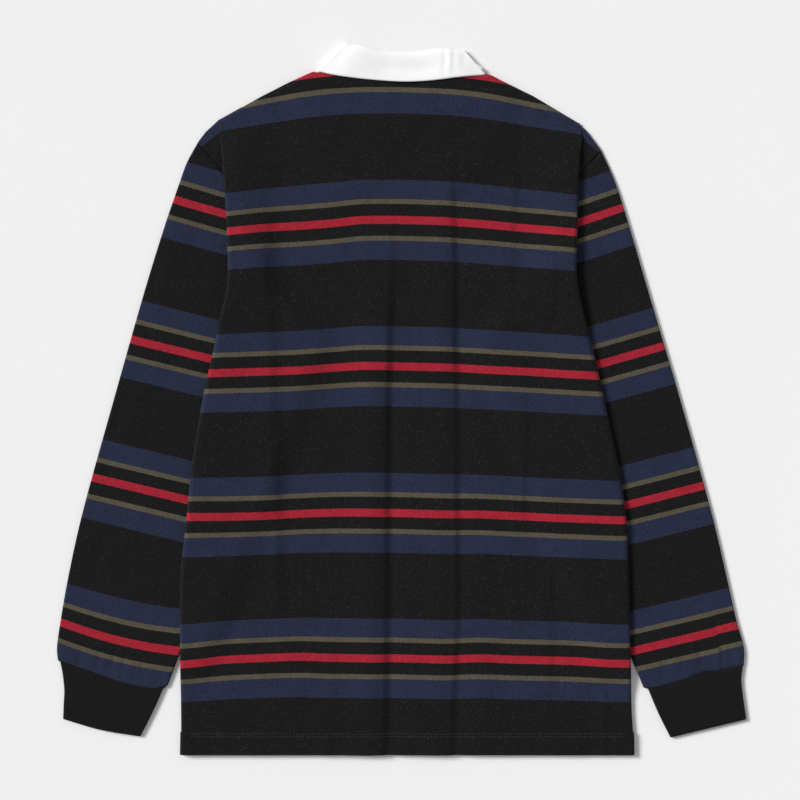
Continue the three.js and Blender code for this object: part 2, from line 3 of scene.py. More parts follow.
import bpy
import numpy as np
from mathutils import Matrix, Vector


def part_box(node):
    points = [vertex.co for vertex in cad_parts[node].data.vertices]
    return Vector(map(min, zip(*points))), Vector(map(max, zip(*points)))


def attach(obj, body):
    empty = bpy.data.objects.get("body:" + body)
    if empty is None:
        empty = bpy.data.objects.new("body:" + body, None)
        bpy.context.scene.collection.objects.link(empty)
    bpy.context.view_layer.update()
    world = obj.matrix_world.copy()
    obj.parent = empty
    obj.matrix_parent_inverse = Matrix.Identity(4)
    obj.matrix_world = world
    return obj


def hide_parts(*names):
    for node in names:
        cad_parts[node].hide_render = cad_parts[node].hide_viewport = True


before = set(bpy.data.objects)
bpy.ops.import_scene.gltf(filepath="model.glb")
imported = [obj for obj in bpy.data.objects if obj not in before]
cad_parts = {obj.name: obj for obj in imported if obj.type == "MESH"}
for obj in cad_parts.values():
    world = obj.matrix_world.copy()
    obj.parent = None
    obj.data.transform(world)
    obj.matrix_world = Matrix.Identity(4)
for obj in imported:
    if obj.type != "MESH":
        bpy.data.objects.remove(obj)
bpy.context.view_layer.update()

# Millimetres, x from the centre line, y from the hem up, as on the laid pieces
MM = 0.001
PLACKET_LOW, PLACKET_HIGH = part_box("placket_outer")
CENTRE_X = (PLACKET_LOW[0] + PLACKET_HIGH[0]) / 2
HEM_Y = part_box("front_panel")[0][1]

CLOTH = 1.3
HEM_WALL = 2.2
HEM_DEPTH = 24.2
HEM_STEP = 0.8
HEM_ROWS = (19.8, 22.8)
RIB_WALL = 2.0
CUFF_HEIGHT = 4.6
SLEEVE_HEIGHT = 4.2
SLEEVE_HEIGHT_AT_ARMHOLE = 3.2
LEAF_WALL = 1.8
STAND_WALL = 1.5
SEAM_GAP = 0.3
AIR = 0.8
LOFT = 2.4
LENGTH = 682
SHOULDER_ENDS = (-197, 190)
PLACKET = dict(half=16, bottom=455, top=659.2, low=0.0, high=1.2)
UNDER_PLACKET = dict(half=19, bottom=448, top=655, low=3.7, high=4.9)

# How far beyond what lies underneath the cloth over it starts to come down, and is down
SLEEVE_RAMP = (13, 46)
WING_RAMP = (11, 40)
PLACKET_RAMP = (20, 60)

# Height over which the back's bend over the placket is rounded
CORNER_BLEND = 0.35

# How widely the corners of the tables' lines are rounded
BAND_SPREAD = 11
EDGE_SPREAD = 8
PLEAT_SPREAD = 25

# Where the back's loft ends towards the neck, and how its folds run out
LOFT_ENDS = (600, 690)
FOLD_TOP = 700
FOLD_FADES = (90, 130)
TUCK_CORNER = (236, 112)
TUCK_REACH = 320


def table(columns, *rows):
    """Rows with named columns."""
    return [dict(zip(columns.split(), row)) for row in rows]


BODY_EDGE = table(
    "y left right",
    (0, -237.8, 249.1), (22, -237.3, 248.5), (45, -237.5, 246.9), (125, -238.3, 244.8),
    (200, -237.6, 243.2), (252, -231.3, 241.0), (306, -226.5, 233.5), (350, -219.8, 223.6),
    (392, -212.0, 214.7), (435, -202.3, 205.0), (467, -196.0, 196.2), (494, -188.4, 190.0),
    (520, -186.2, 186.4), (560, -187.4, 187.8), (600, -190.0, 188.6), (640, -192.6, 190.6),
    (665, -195.8, 194.4), (682, -197.0, 190.0),
)

SHOULDER_LINE = table(
    "x y",
    (-219.5, 657.4), (-210.9, 669.3), (-197, 682.2), (-150.6, 708), (-124.8, 720.9), (-97, 733.2),
    (-88, 732.2), (0, 729), (88, 731.2), (97, 729.2), (105.5, 724.4), (139.9, 708), (190, 678.2),
    (199.1, 669.3), (214.1, 648.4),
)

EDGE_FOLD = table(
    "y lift turn depth rest",
    (0, 0, 0, 0.4, 0), (120, 0.2, 0, 0.4, 1.8), (250, 1.5, 0, 0.4, 3.8), (452, 2.4, 0, 0.4, 6.9),
    (478, 3.2, 1, 5, 6.9), (535, 5.0, 1, 8.4, 6.6), (565, 5.6, 1, 8.4, 5.3), (610, 5.6, 1, 8, 5.2),
    (640, 4.4, 1, 6, 4.4), (660, 2.2, 1, 3, 3.1), (671, 0.5, 0, 0.4, 2.9), (690, 0, 0, 0.4, 2.9),
)

FRONT_INSET = table(
    "y inset",
    (0, 0), (452, 0), (476, 13), (545, 14.5), (575, 8.5), (605, 3.5), (640, 1), (690, 0.6),
)

BACK_FOLDS = table(
    "low high start end depth half",
    (-140, -152, 115, 590, 1.1, 19), (-18, -8, -60, 590, 2.4, 13), (52, 62, -60, 560, 2.0, 14),
    (146, 150, 30, 520, 1.0, 26), (208, 214, -60, 95, 1.1, 11),
)

SLEEVES = dict(
    left=dict(
        side=-1,
        outer=[
            (-219.7, 657.2), (-231.3, 635.9), (-241, 609), (-252.9, 574.6), (-274.4, 505.7),
            (-309.9, 380.9), (-345.4, 251.8), (-359.4, 187.2), (-366.9, 144.2),
            (-370.9, 114), (-370, 102),
        ],
        inner=[(-112, 437), (-180.5, 262), (-251.8, 74.2)],
        armhole=[
            (-219.7, 657.2), (-206.8, 642.2), (-194, 627.4), (-190, 619.3), (-187.2, 603),
            (-181.5, 575), (-176, 530), (-152, 484), (-112, 437),
        ],
        wrist=[
            (-370, 102), (-357.5, 98), (-347, 94), (-332.4, 89.1), (-313.8, 82.3),
            (-295.3, 76.7), (-276.7, 72.8), (-264.4, 71.4), (-251.8, 74.2),
        ],
        cuff_outer=[(-367.6, 100.8), (-365, 88), (-363, 69), (-363.6, 55), (-364.2, 38.4)],
        cuff_inner=[(-256.2, 71.6), (-266.6, 48.2), (-281, 19.6)],
        cuff_top=[
            (-367.6, 100.8), (-357.6, 97.6), (-347.1, 93.6), (-332.5, 88.7), (-313.9, 81.9),
            (-295.4, 76.3), (-276.8, 72.4), (-264.6, 70.9), (-256.2, 71.6),
        ],
        cuff_end=[(-364.2, 38.4), (-324, 26.8), (-281, 19.6)],
    ),
    right=dict(
        side=1,
        outer=[
            (214.4, 648.2), (222.7, 630.5), (231.3, 609), (242.1, 574.6), (263.6, 501.4),
            (299.1, 380.9), (334.6, 251.8), (349.7, 187.2), (359.4, 144.2),
            (367.8, 112), (367.4, 96.6),
        ],
        inner=[(112, 437), (182, 262), (259.6, 71.8)],
        armhole=[
            (214.4, 648.2), (205.5, 638.6), (196.6, 629), (188.8, 620.6), (185.9, 603),
            (181, 575), (176, 530), (152, 484), (112, 437),
        ],
        wrist=[
            (367.4, 96.6), (342.8, 91), (322.7, 88.6), (308.3, 82.9), (285.2, 75.4),
            (273.7, 72.2), (259.6, 71.8),
        ],
        cuff_outer=[(366.4, 96), (364.8, 79.6), (366.4, 63.5), (370, 38)],
        cuff_inner=[(263.6, 72.4), (275.6, 44), (288.4, 18.4)],
        cuff_top=[
            (366.4, 96), (342.4, 90.5), (322.4, 88.1), (308.1, 82.4), (285, 74.9),
            (274, 71.9), (263.6, 72.4),
        ],
        cuff_end=[(370, 38), (328, 28), (288.4, 18.4)],
    ),
)

# Shoulder piece beyond the side fold: its upper outline, its lower one along the armhole seam,
# where its front layer starts beside the front, where the navy band's lower edge starts across
# it and which way the bands climb
SHOULDER_TIPS = dict(
    left=dict(
        upper=[(-172, 695.8), (-197, 681.8), (-210.9, 669), (-218.3, 659.4)],
        lower=[(-172, 612), (-184, 612), (-189.5, 620), (-193.7, 628.1), (-219.3, 657.6)],
        front_start=[(-196.2, 682.4), (-188.6, 615)],
        band_at=(-195.8, 668.2), climb=(-0.62, 0.785),
    ),
    right=dict(
        upper=[(170, 689.6), (190, 677.8), (199.1, 669), (212.9, 650.6)],
        lower=[(170, 612), (182, 612), (188.2, 621.2), (196.4, 629.6), (213.9, 648.6)],
        front_start=[(189.6, 678), (187.4, 616)],
        band_at=(191.7, 663.1), climb=(0.634, 0.773),
    ),
)
TIP_AIR = 0.6
TIP_TURN = (190, 200)

COLLAR = dict(
    leaf_low=0.9, leaf_high=7.5, stand_low=2.85, stand_high=5.4, sag=1.6, sag_half=55,
    back_fold=[
        (-59, 763.4), (-46.8, 762.3), (-33.8, 759.2), (-20.8, 756.2), (0, 754.7), (18.3, 755.7),
        (31.3, 757.2), (44.4, 758.4), (56, 757.6), (65.6, 755.9),
    ],
    back_edge=[
        (-89.5, 733.4), (-70, 729.1), (-45.2, 725.8), (0, 722.5), (30.1, 723.6),
        (61, 727.2), (88.5, 729.9),
    ],
    back_seam=[(-87.6, 736.4), (-70, 732.6), (0, 729.6), (70, 731.9), (87.6, 735.4)],
    front_fold=[(-58, 735), (-45, 710), (-22, 693), (-3, 688)],
    front_edge=[(-97, 705), (-88, 665), (-50, 628)],
    front_seam=[(-84, 712), (-68, 686), (-38, 666), (-3, 660)],
)

# Bands of the cloth: distance from a group's middle, and how the groups follow each other
PERIOD = 157.1
FIRST_GROUP = 103.3
BANDS = dict(red=0.0, black_1=4.0, olive=16.9, navy=22.3, black_2=42.9)

# How much lower each group of bands lies than level, at these places across the body
DROP_PLACES = [-234, -190, -142, -110, -77, -45, 0, 52, 84, 116, 148, 181, 226]
BAND_DROP = table(
    "y drops",
    (0, [1, 0, -1, -1, -1, -1, -0.5, 0, -0.5, 0, 0.5, 1, 2]),
    (103, [6.2, 1, -1.2, -2.4, -1, -0.8, -0.2, 1, -0.8, 1.1, 1.6, 2.4, 4.9]),
    (260, [4.6, 4.8, 3.7, 1.7, 0.4, 0.2, 1, 2.4, 2.3, 3.9, 5.4, 6.6, 8.3]),
    (417, [9, 7.7, 6.2, 5, 2.3, -0.2, 0.6, 1.8, 3.8, 5.5, 7.2, 9.4, 12]),
    (575, [17, 14.4, 8.9, 6.9, 4.6, 0.5, 0.5, 2.4, 4.7, 8, 11, 14.7, 19]),
    (688, [27, 19, 10.6, 5.6, 2, 0.6, 0.2, 2.4, 5.5, 10.6, 16.4, 22.4, 32]),
    (711, [24, 17, 8.4, 3.4, -0.4, -2, -2.2, 0, 3.2, 8.4, 14.4, 20.4, 30]),
    (731, [24, 16, 7.6, 2.6, -1.2, -2.6, -2.8, -0.8, 2.4, 7.6, 13.6, 19.6, 29]),
)

# Where the middles of the sleeves' bands lie at 260 mm from the centre line, and their slope
SLEEVE_BANDS = dict(
    left=table(
        "level slope band",
        (110.6, 0.27, 103.3), (280.7, 0.2375, 260.4), (438.3, 0.244, 417.5), (600.7, 0.294, 574.6),
    ),
    right=table(
        "level slope band",
        (114.3, 0.233, 103.3), (272.7, 0.25, 260.4), (432.8, 0.283, 417.5), (595.4, 0.35, 574.6),
    ),
)
BAND_REFERENCE = 260
SLEEVE_PERIOD = 163

# The left sleeve's bands bend up beside the wrist, and the right one's step down at a crease
WRIST_BEND = dict(middle=-312, reach=54, rise=3.3, fades=(130, 220))
WRIST_SEAM = dict(
    low=(344.6, 88), high=(334, 158), step=1.3,
    widths=(0.7, 9.0), widens=(112, 172), fades=(120, 178),
)


def smoothstep(value, low, high):
    share = np.clip((value - low) / (high - low), 0, 1)
    return share * share * (3 - 2 * share)


def lerp(a, b, share):
    return a + (b - a) * share


def column_at(table, along, column, at):
    """Value of a table's column at a place along another one, straight between its rows."""
    return np.interp(at, [row[along] for row in table], [row[column] for row in table])


def plan_curve(points):
    """Smooth plan curve through points, as a function of the share of its length."""
    p = np.array(points, dtype=float)
    ends = np.vstack([2 * p[0] - p[1], p, 2 * p[-1] - p[-2]])
    samples = [p[:1]]
    for i in range(len(p) - 1):
        x0, x1, x2, x3 = ends[i:i + 4]
        d0, d1, d2 = (math.sqrt(np.linalg.norm(b - a)) for a, b in ((x0, x1), (x1, x2), (x2, x3)))
        t1 = ((x1 - x0) / d0 - (x2 - x0) / (d0 + d1) + (x2 - x1) / d1) * d1
        t2 = ((x2 - x1) / d1 - (x3 - x1) / (d1 + d2) + (x3 - x2) / d2) * d1
        t = np.linspace(0, 1, 33)[1:, None]
        cubic = 2 * x1 - 2 * x2 + t1 + t2
        square = -3 * x1 + 3 * x2 - 2 * t1 - t2
        samples.append(cubic * t ** 3 + square * t ** 2 + t1 * t + x1)
    line = np.vstack(samples)
    return straight_curve(line)


def straight_curve(points):
    """Plan line through points with straight stretches, as a function of its length's share."""
    line = np.array(points, dtype=float)
    lengths = np.concatenate([[0], np.cumsum(np.linalg.norm(np.diff(line, axis=0), axis=1))])
    lengths /= lengths[-1]

    def at(share):
        share = np.asarray(share, dtype=float)
        return np.stack([np.interp(share, lengths, line[:, k]) for k in range(2)], axis=-1)

    return at


def distance_to(outline, x, y):
    """Distance from plan points to an outline, negative inside it."""
    x, y = np.broadcast_arrays(np.asarray(x, float), np.asarray(y, float))
    nearest = np.full(x.shape, np.inf)
    inside = np.zeros(x.shape, bool)
    for (ax, ay), (bx, by) in zip(outline, outline[1:] + outline[:1]):
        dx, dy = bx - ax, by - ay
        t = np.clip(((x - ax) * dx + (y - ay) * dy) / (dx * dx + dy * dy), 0, 1)
        nearest = np.minimum(nearest, np.hypot(x - ax - t * dx, y - ay - t * dy))
        if ay != by:
            crosses = ((ay > y) != (by > y)) & (x < ax + (y - ay) / dy * dx)
            inside ^= crosses
    return np.where(inside, -nearest, nearest)


def ramp(outline, x, y, full, none):
    return 1 - smoothstep(distance_to(outline, x, y), full, none)


def rectangle(half, bottom, top):
    return [(-half, bottom), (half, bottom), (half, top), (-half, top)]


def tucked_outline(sleeve):
    side, armhole, inner = sleeve["side"], sleeve["armhole"], sleeve["inner"]
    hidden = armhole[-3:]
    return [
        *hidden, inner[1], (side * TUCK_CORNER[0], TUCK_CORNER[1]),
        (side * TUCK_REACH, inner[-1][1]), (side * TUCK_REACH, hidden[0][1]),
    ]


def wing_outline(side):
    half = [COLLAR["back_fold"][0], *COLLAR["front_fold"]]
    half += [*reversed(COLLAR["front_edge"]), COLLAR["back_edge"][0]]
    return [(-side * x, y) for x, y in half]


TUCKED = [tucked_outline(sleeve) for sleeve in SLEEVES.values()]
WINGS = [wing_outline(-1), wing_outline(1)]
UNDER_OUTLINE = rectangle(UNDER_PLACKET["half"], UNDER_PLACKET["bottom"], UNDER_PLACKET["top"])


def front_base(x, y):
    """Underside of the front: on the surface, over the collar's wings and the tucked sleeves."""
    sleeve = np.maximum(*[ramp(outline, x, y, *SLEEVE_RAMP) for outline in TUCKED])
    wing = np.maximum(*[ramp(outline, x, y, *WING_RAMP) for outline in WINGS])
    return np.maximum((SLEEVE_HEIGHT + SEAM_GAP) * sleeve, (LEAF_WALL + SEAM_GAP) * wing)


def wall_at(y):
    beyond = smoothstep(y, HEM_DEPTH - HEM_STEP, HEM_DEPTH + HEM_STEP)
    return CLOTH + (HEM_WALL - CLOTH) * (1 - beyond)


def fold_depth(x, y):
    total = np.zeros(np.broadcast(x, y).shape)
    for fold in BACK_FOLDS:
        middle = lerp(fold["low"], fold["high"], np.clip(y / FOLD_TOP, 0, 1))
        fade = smoothstep(y, fold["start"], fold["start"] + FOLD_FADES[0])
        fade = fade * (1 - smoothstep(y, fold["end"] - FOLD_FADES[1], fold["end"]))
        total = total + fold["depth"] * fade * np.exp(-(((x - middle) / fold["half"]) ** 2))
    return total


def loft_at(x, y):
    """How far the back stands off the front between its folds."""
    neck = 1 - smoothstep(y, *LOFT_ENDS)
    return np.maximum(0, LOFT * neck - fold_depth(x, y))


def back_base(x, y):
    """Underside of the back: air over the front, lofted between the folds, over the placket."""
    front = front_base(x, y) + np.where(y < HEM_DEPTH, HEM_WALL, CLOTH)
    loft = loft_at(x, y)
    slope = ramp(UNDER_OUTLINE, x, y, *PLACKET_RAMP)
    over_placket = (UNDER_PLACKET["high"] + SEAM_GAP) * slope
    apart = np.abs(front + AIR + loft - over_placket)
    rounding = CORNER_BLEND * np.exp(-apart / CORNER_BLEND) * 0.5
    return np.maximum(front + AIR + loft, over_placket) + rounding


# Bands


def soft_interp(at, places, values, spread):
    """Value between the places of a short list, rounded over its corners."""
    offsets = np.linspace(-1.5, 1.5, 7)
    weights = np.exp(-(offsets ** 2))
    total = sum(
        weight * np.interp(at + offset * spread, places, values)
        for offset, weight in zip(offsets, weights)
    )
    return total / weights.sum()


def body_band(x, y):
    """Place of a plan point of the body in the cloth's pattern, in mm above the hem."""
    x, y = np.broadcast_arrays(np.asarray(x, float), np.asarray(y, float))
    rows = [soft_interp(x, DROP_PLACES, row["drops"], BAND_SPREAD) for row in BAND_DROP]
    drops = np.stack(rows)
    heights = np.array([row["y"] for row in BAND_DROP], float)
    place = np.interp(y, heights, np.arange(len(heights)))
    low = np.clip(np.floor(place).astype(int), 0, len(heights) - 2)
    pick = lambda index: np.take_along_axis(drops, index[None], axis=0)[0]
    return y + lerp(pick(low), pick(low + 1), place - low)


def tip_band(name, x, y):
    """Bands of a shoulder piece, which turn down along the armhole seam."""
    tip = SHOULDER_TIPS[name]
    (ax, ay), (ux, uy) = tip["band_at"], tip["climb"]
    edge = FIRST_GROUP + 4 * PERIOD - BANDS["black_2"]
    turned = edge + (x - ax) * ux + (y - ay) * uy
    share = smoothstep(np.abs(x), *TIP_TURN)
    return lerp(body_band(x, y), turned, share)


def sleeve_band(name, x, y):
    rows = SLEEVE_BANDS[name]
    side = SLEEVES[name]["side"]
    slope = column_at(rows, "level", "slope", y)
    level = y - side * slope * (x - side * BAND_REFERENCE)
    inside = column_at(rows, "level", "band", level)
    low, high = rows[0], rows[-1]
    steep = PERIOD / SLEEVE_PERIOD
    inside = np.where(level < low["level"], low["band"] + (level - low["level"]) * steep, inside)
    inside = np.where(level > high["level"], high["band"] + (level - high["level"]) * steep, inside)
    if side < 0:
        bend = WRIST_BEND
        fade = 1 - smoothstep(y, *bend["fades"])
        return inside - bend["rise"] * ((x - bend["middle"]) / bend["reach"]) ** 2 * fade
    (low_x, low_y), (high_x, high_y) = WRIST_SEAM["low"], WRIST_SEAM["high"]
    seam_x = low_x + (high_x - low_x) * (y - low_y) / (high_y - low_y)
    start, end = WRIST_SEAM["widens"]
    width = lerp(*WRIST_SEAM["widths"], np.clip((y - start) / (end - start), 0, 1))
    fade = 1 - smoothstep(y, *WRIST_SEAM["fades"])
    return inside - WRIST_SEAM["step"] * fade * smoothstep(x, seam_x - width, seam_x + width)


# Meshes


def place(points):
    """Points of the laid pieces, in the frame's own place and metres."""
    moved = np.asarray(points, float) * MM
    return moved + np.array([CENTRE_X, HEM_Y, 0.0])


def mesh_object(name, points, faces, uv=None):
    mesh = bpy.data.meshes.new(name)
    mesh.from_pydata(place(points).tolist(), [], faces.tolist())
    if uv is not None:
        layer = mesh.uv_layers.new(name="cloth")
        loops = np.empty(len(mesh.loops), dtype=np.int32)
        mesh.loops.foreach_get("vertex_index", loops)
        layer.data.foreach_set("uv", (np.asarray(uv)[loops] * MM).astype(np.float32).ravel())
    mesh.polygons.foreach_set("use_smooth", [True] * len(mesh.polygons))
    mesh.update()
    piece = bpy.data.objects.new(name, mesh)
    bpy.context.scene.collection.objects.link(piece)
    return piece


def wall_between(name, outer, inner, outer_uv, inner_uv, closed=False, kept=None):
    """Closed mesh between two grids of points, whose columns may close on themselves.

    kept says which cells of the grids are built, where some are left open."""
    rows, columns = outer.shape[:2]
    count = rows * columns
    across = columns if closed else columns - 1
    if kept is None:
        kept = np.ones((rows - 1, across), bool)
    row, column = np.nonzero(kept)

    def at(i, j):
        return i * columns + j % columns

    a, b = at(row, column), at(row, column + 1)
    c, d = at(row + 1, column + 1), at(row + 1, column)
    faces = [np.stack([a, b, c, d], 1), np.stack([a, d, c, b], 1) + count]
    sides = ((-1, 0, a, b), (0, 1, b, c), (1, 0, c, d), (0, -1, d, a))
    for down, right, first, last in sides:
        i, j = row + down, column + right
        if closed:
            j = j % across
        inside = (i >= 0) & (i < rows - 1) & (j >= 0) & (j < across)
        bare = ~inside
        bare[inside] = ~kept[i[inside], j[inside]]
        f, l = first[bare], last[bare]
        faces.append(np.stack([f, f + count, l + count, l], 1))
    faces = np.vstack(faces)
    points = np.vstack([outer.reshape(-1, 3), inner.reshape(-1, 3)])
    uv = np.vstack([outer_uv.reshape(-1, 2), inner_uv.reshape(-1, 2)])
    used, faces = np.unique(faces, return_inverse=True)
    faces = faces.reshape(-1, 4)
    points, uv = points[used], uv[used]
    origin, second, third, fourth = (points[faces[:, k]] for k in range(4))
    volume = np.einsum("ij,ij->", origin, np.cross(second, third))
    volume += np.einsum("ij,ij->", origin, np.cross(third, fourth))
    if volume < 0:
        faces = faces[:, ::-1]
    return mesh_object(name, points, faces, uv)


# Low, broad unevenness of laid cloth, from a few sine waves of unlike lengths and directions
WAVES = table(
    "length angle phase height",
    (83, 17, 0.4, 0.16), (61, 101, 2.1, 0.13), (47, 64, 4.0, 0.10), (34, 149, 1.2, 0.07),
    (27, 88, 5.3, 0.05),
)


def unevenness(x, y, shift=0.0):
    total = np.zeros(np.broadcast(x, y).shape)
    for wave in WAVES:
        angle = math.radians(wave["angle"])
        along = (x * math.cos(angle) + y * math.sin(angle)) / wave["length"]
        total += wave["height"] * np.sin(2 * math.pi * along + wave["phase"] + shift)
    return total


def crease(x, y, start, end, half, height, bow=0.0):
    """Soft ridge, or trough if its height is negative, along a bowed line that fades at both ends."""
    (ax, ay), (bx, by) = start, end
    length = math.hypot(bx - ax, by - ay)
    ux, uy = (bx - ax) / length, (by - ay) / length
    along = ((x - ax) * ux + (y - ay) * uy) / length
    off = (x - ax) * -uy + (y - ay) * ux - bow * 4 * along * (1 - along)
    fade = smoothstep(along, -0.05, 0.3) * (1 - smoothstep(along, 0.7, 1.05))
    return height * fade * np.exp(-((off / half) ** 2))


def pleat(x, y, line, rise, drop, left, near, share, steep, right, fade):
    """Fold that swells from the left, bends down near a line, falls steeply there and levels out.

    share is how much of the rise is lost in the bend, which is about near wide."""
    heights = [point[1] for point in line]
    off = x - soft_interp(y, heights, [point[0] for point in line], PLEAT_SPREAD)
    before = np.minimum(off, 0)
    swell = rise * np.exp(-((before / left) ** 2)) * (1 - share * np.exp(before / near))
    hollow = -drop * np.exp(-((np.maximum(off, 0) / right) ** 2))
    low, high = heights[0], heights[-1]
    ends = smoothstep(y, low, low + fade) * (1 - smoothstep(y, high - fade, high))
    return ends * lerp(swell, hollow, smoothstep(off, -steep / 2, steep / 2))


# The back's long folds where they show: the line of the steep side, from the hem up
BACK_PLEATS = table(
    "line rise drop left near share steep right fade",
    ([(-19, -120), (-16.5, 60), (-15.6, 160), (-14.8, 380), (-11, 500), (-7, 610)],
     5.2, 0.5, 34, 19, 0.38, 10.5, 26, 170),
    ([(51, -110), (57, 60), (61.4, 150), (60.2, 380), (58, 540), (55, 690)],
     4.3, 0.5, 25, 14, 0.38, 9.5, 22, 150),
    ([(-126, 90), (-134, 330), (-147, 640)], 4.6, 0.5, 28, 15, 0.5, 19, 34, 140),
    ([(118, 430), (124, 560), (128, 672)], 1.0, 0.4, 16, 8, 0.5, 11, 18, 70),
    ([(163, 440), (167, 500), (169, 560)], 1.1, 0.35, 12, 6, 0.5, 7, 12, 50),
    ([(134, 215), (136, 300), (138, 400)], 1.5, 0.35, 15, 7, 0.5, 8, 14, 60),
    ([(162, 30), (164, 130), (166, 250)], 1.6, 0.4, 20, 9, 0.5, 11, 18, 70),
    ([(221, -80), (222, 30), (224, 100)], 1.2, 0.4, 12, 6, 0.5, 8, 10, 60),
    ([(-78, -60), (-74, 50), (-66, 150)], 0.8, 0.3, 18, 9, 0.5, 12, 16, 70),
)

# Creases of the back besides its long folds
BACK_CREASES = table(
    "start end half height bow",
    ((-186, 610), (-120, 560), 7, -0.5, 6), ((-183, 560), (-118, 486), 9, 0.5, -5),
    ((-188, 520), (-140, 452), 6, -0.45, 4), ((184, 604), (112, 548), 8, -0.5, -7),
    ((183, 552), (128, 470), 9, 0.55, 6), ((190, 500), (150, 430), 6, -0.4, -3),
    ((-95, 690), (-30, 655), 8, -0.4, -6), ((92, 688), (34, 650), 8, -0.4, 6),
    ((-215, 330), (-176, 190), 10, 0.4, 7), ((224, 300), (190, 160), 10, 0.45, -6),
    ((95, 200), (108, 40), 11, -0.45, 4), ((-88, 170), (-96, 20), 12, -0.4, -5),
)

FRONT_CREASES = table(
    "start end half height bow",
    ((-60, 600), (-110, 470), 8, 0.5, 6), ((58, 590), (96, 455), 9, 0.5, -7),
    ((-30, 430), (-42, 240), 10, 0.45, 5), ((36, 400), (30, 200), 9, 0.5, -6),
    ((-90, 330), (-120, 120), 11, 0.4, 8), ((100, 300), (126, 90), 11, 0.45, -6),
)


TIP_CREASES = dict(
    left=table(
        "start end half height bow",
        ((-194, 664), (-203, 640), 3.5, 0.9, 1), ((-199, 672), (-212, 654), 3.5, 0.6, -1),
    ),
    right=table(
        "start end half height bow",
        ((192, 660), (199, 640), 3.5, 0.8, -1), ((197, 668), (208, 652), 3.5, 0.5, 1),
    ),
)


# How far the small form may go down, so that it meets no cloth underneath
DEEPEST = dict(back=-0.65, sleeve=-0.9, leaf=-2.4)


def creases(rows, x, y):
    return sum(crease(x, y, **row) for row in rows)


def back_relief(x, y):
    """Small form of the back's cloth, never so deep that it meets the front."""
    pleats = sum(pleat(x, y, **row) for row in BACK_PLEATS)
    return np.maximum(pleats + creases(BACK_CREASES, x, y) + unevenness(x, y), DEEPEST["back"])


BACK_GRID = dict(columns=290, rows=142)
FRONT_GRID = dict(columns=150, rows=190)
TIP_GRID = dict(columns=60, rows=46)
SLEEVE_GRID = dict(columns=70, rows=170)
CUFF_GRID = dict(columns=190, rows=36)
LEAF_COLUMNS = 26
STAND_COLUMNS = 10
ARC_STEPS = 8
NEARLY = 1e-9


def row_shares(count):
    hem = np.linspace(0, HEM_DEPTH - 1.5 * HEM_STEP, 5)
    step = np.linspace(HEM_DEPTH - HEM_STEP, HEM_DEPTH + HEM_STEP, 5)
    rest = np.linspace(HEM_DEPTH + 3, LENGTH, count)
    return np.concatenate([hem, step, rest]) / LENGTH


def column_places(count):
    return np.linspace(*SHOULDER_ENDS, count)


PLACES = column_places(BACK_GRID["columns"])
TOPS = column_at(SHOULDER_LINE, "x", "y", PLACES)


def smooth_edge(column, y):
    """Body's side edge at a height, rounded over the table's corners."""
    places = [row["y"] for row in BODY_EDGE]
    return float(soft_interp(y, places, [row[column] for row in BODY_EDGE], EDGE_SPREAD))


def body_row(share, inset, places=PLACES, tops=TOPS):
    left_y, right_y = share * tops[0], share * tops[-1]
    left = smooth_edge("left", left_y) + inset(left_y)
    right = smooth_edge("right", right_y) - inset(right_y)
    return lerp(left, right, (places - places[0]) / (places[-1] - places[0])), share * tops


def edge_turn(side, x, y, middle, angle, radius, depth):
    """Points and normals round one rolled edge and along what is turned back under it."""
    points, normals = [], []
    for i in range(1, ARC_STEPS + 4):
        turned = angle * min(i, ARC_STEPS) / ARC_STEPS
        beyond = depth / 3 * max(0, i - ARC_STEPS)
        along = x - side * radius * (1 - math.sin(turned)) + side * beyond * math.cos(turned)
        height = middle - radius * (1 - math.cos(turned)) - beyond * math.sin(turned)
        points.append((along, y, height))
        normals.append((side * math.sin(turned), 0, math.cos(turned)))
    return points, normals


# How far in from the side edges their lift reaches, and the small form begins
LIFT_REACH = (4, 62)
EDGE_CALM = 12


def back_section(share):
    """Middle line of one row of the back, and its normals."""
    xs, ys = body_row(share, lambda y: 0)
    turns = []
    for side, index in ((-1, 0), (1, -1)):
        x, y = xs[index], ys[index]
        lift, turn, depth, rest = (
            float(column_at(EDGE_FOLD, "y", column, y)) for column in ("lift", "turn", "depth", "rest")
        )
        below = float(front_base(x, y) + wall_at(y))
        rest = turn * rest + (1 - turn) * below
        middle = float(back_base(x, y)) + CLOTH / 2 + lift
        angle = math.pi / 2 * (1 + turn)
        drop = middle - rest - (1 - turn) * (SEAM_GAP + depth)
        radius = drop / (1 - math.cos(angle))
        turned = edge_turn(side, x - side * CLOTH / 2, y, middle, angle, radius, depth)
        turns.append((*turned, radius))
    xs, ys = body_row(share, lambda y: CLOTH / 2)
    u = (xs - xs[0]) / (xs[-1] - xs[0])
    lifts = [float(column_at(EDGE_FOLD, "y", "lift", ys[index])) for index in (0, -1)]
    near = np.minimum(xs - xs[0], xs[-1] - xs)
    rise = np.where(u < 0.5, lifts[0], lifts[1]) * (1 - smoothstep(near, *LIFT_REACH))
    inset = xs + turns[0][2] * (1 - u) - turns[1][2] * u
    detail = back_relief(xs, ys) * smoothstep(near, 0, EDGE_CALM)
    height = back_base(xs, ys) + CLOTH / 2 + rise + detail
    run = np.stack([inset, ys, height], 1)
    up = np.tile([0.0, 0.0, 1.0], (len(run), 1))
    points = np.vstack([turns[0][0][::-1], run, turns[1][0]])
    normals = np.vstack([turns[0][1][::-1], up, turns[1][1]])
    return points, normals


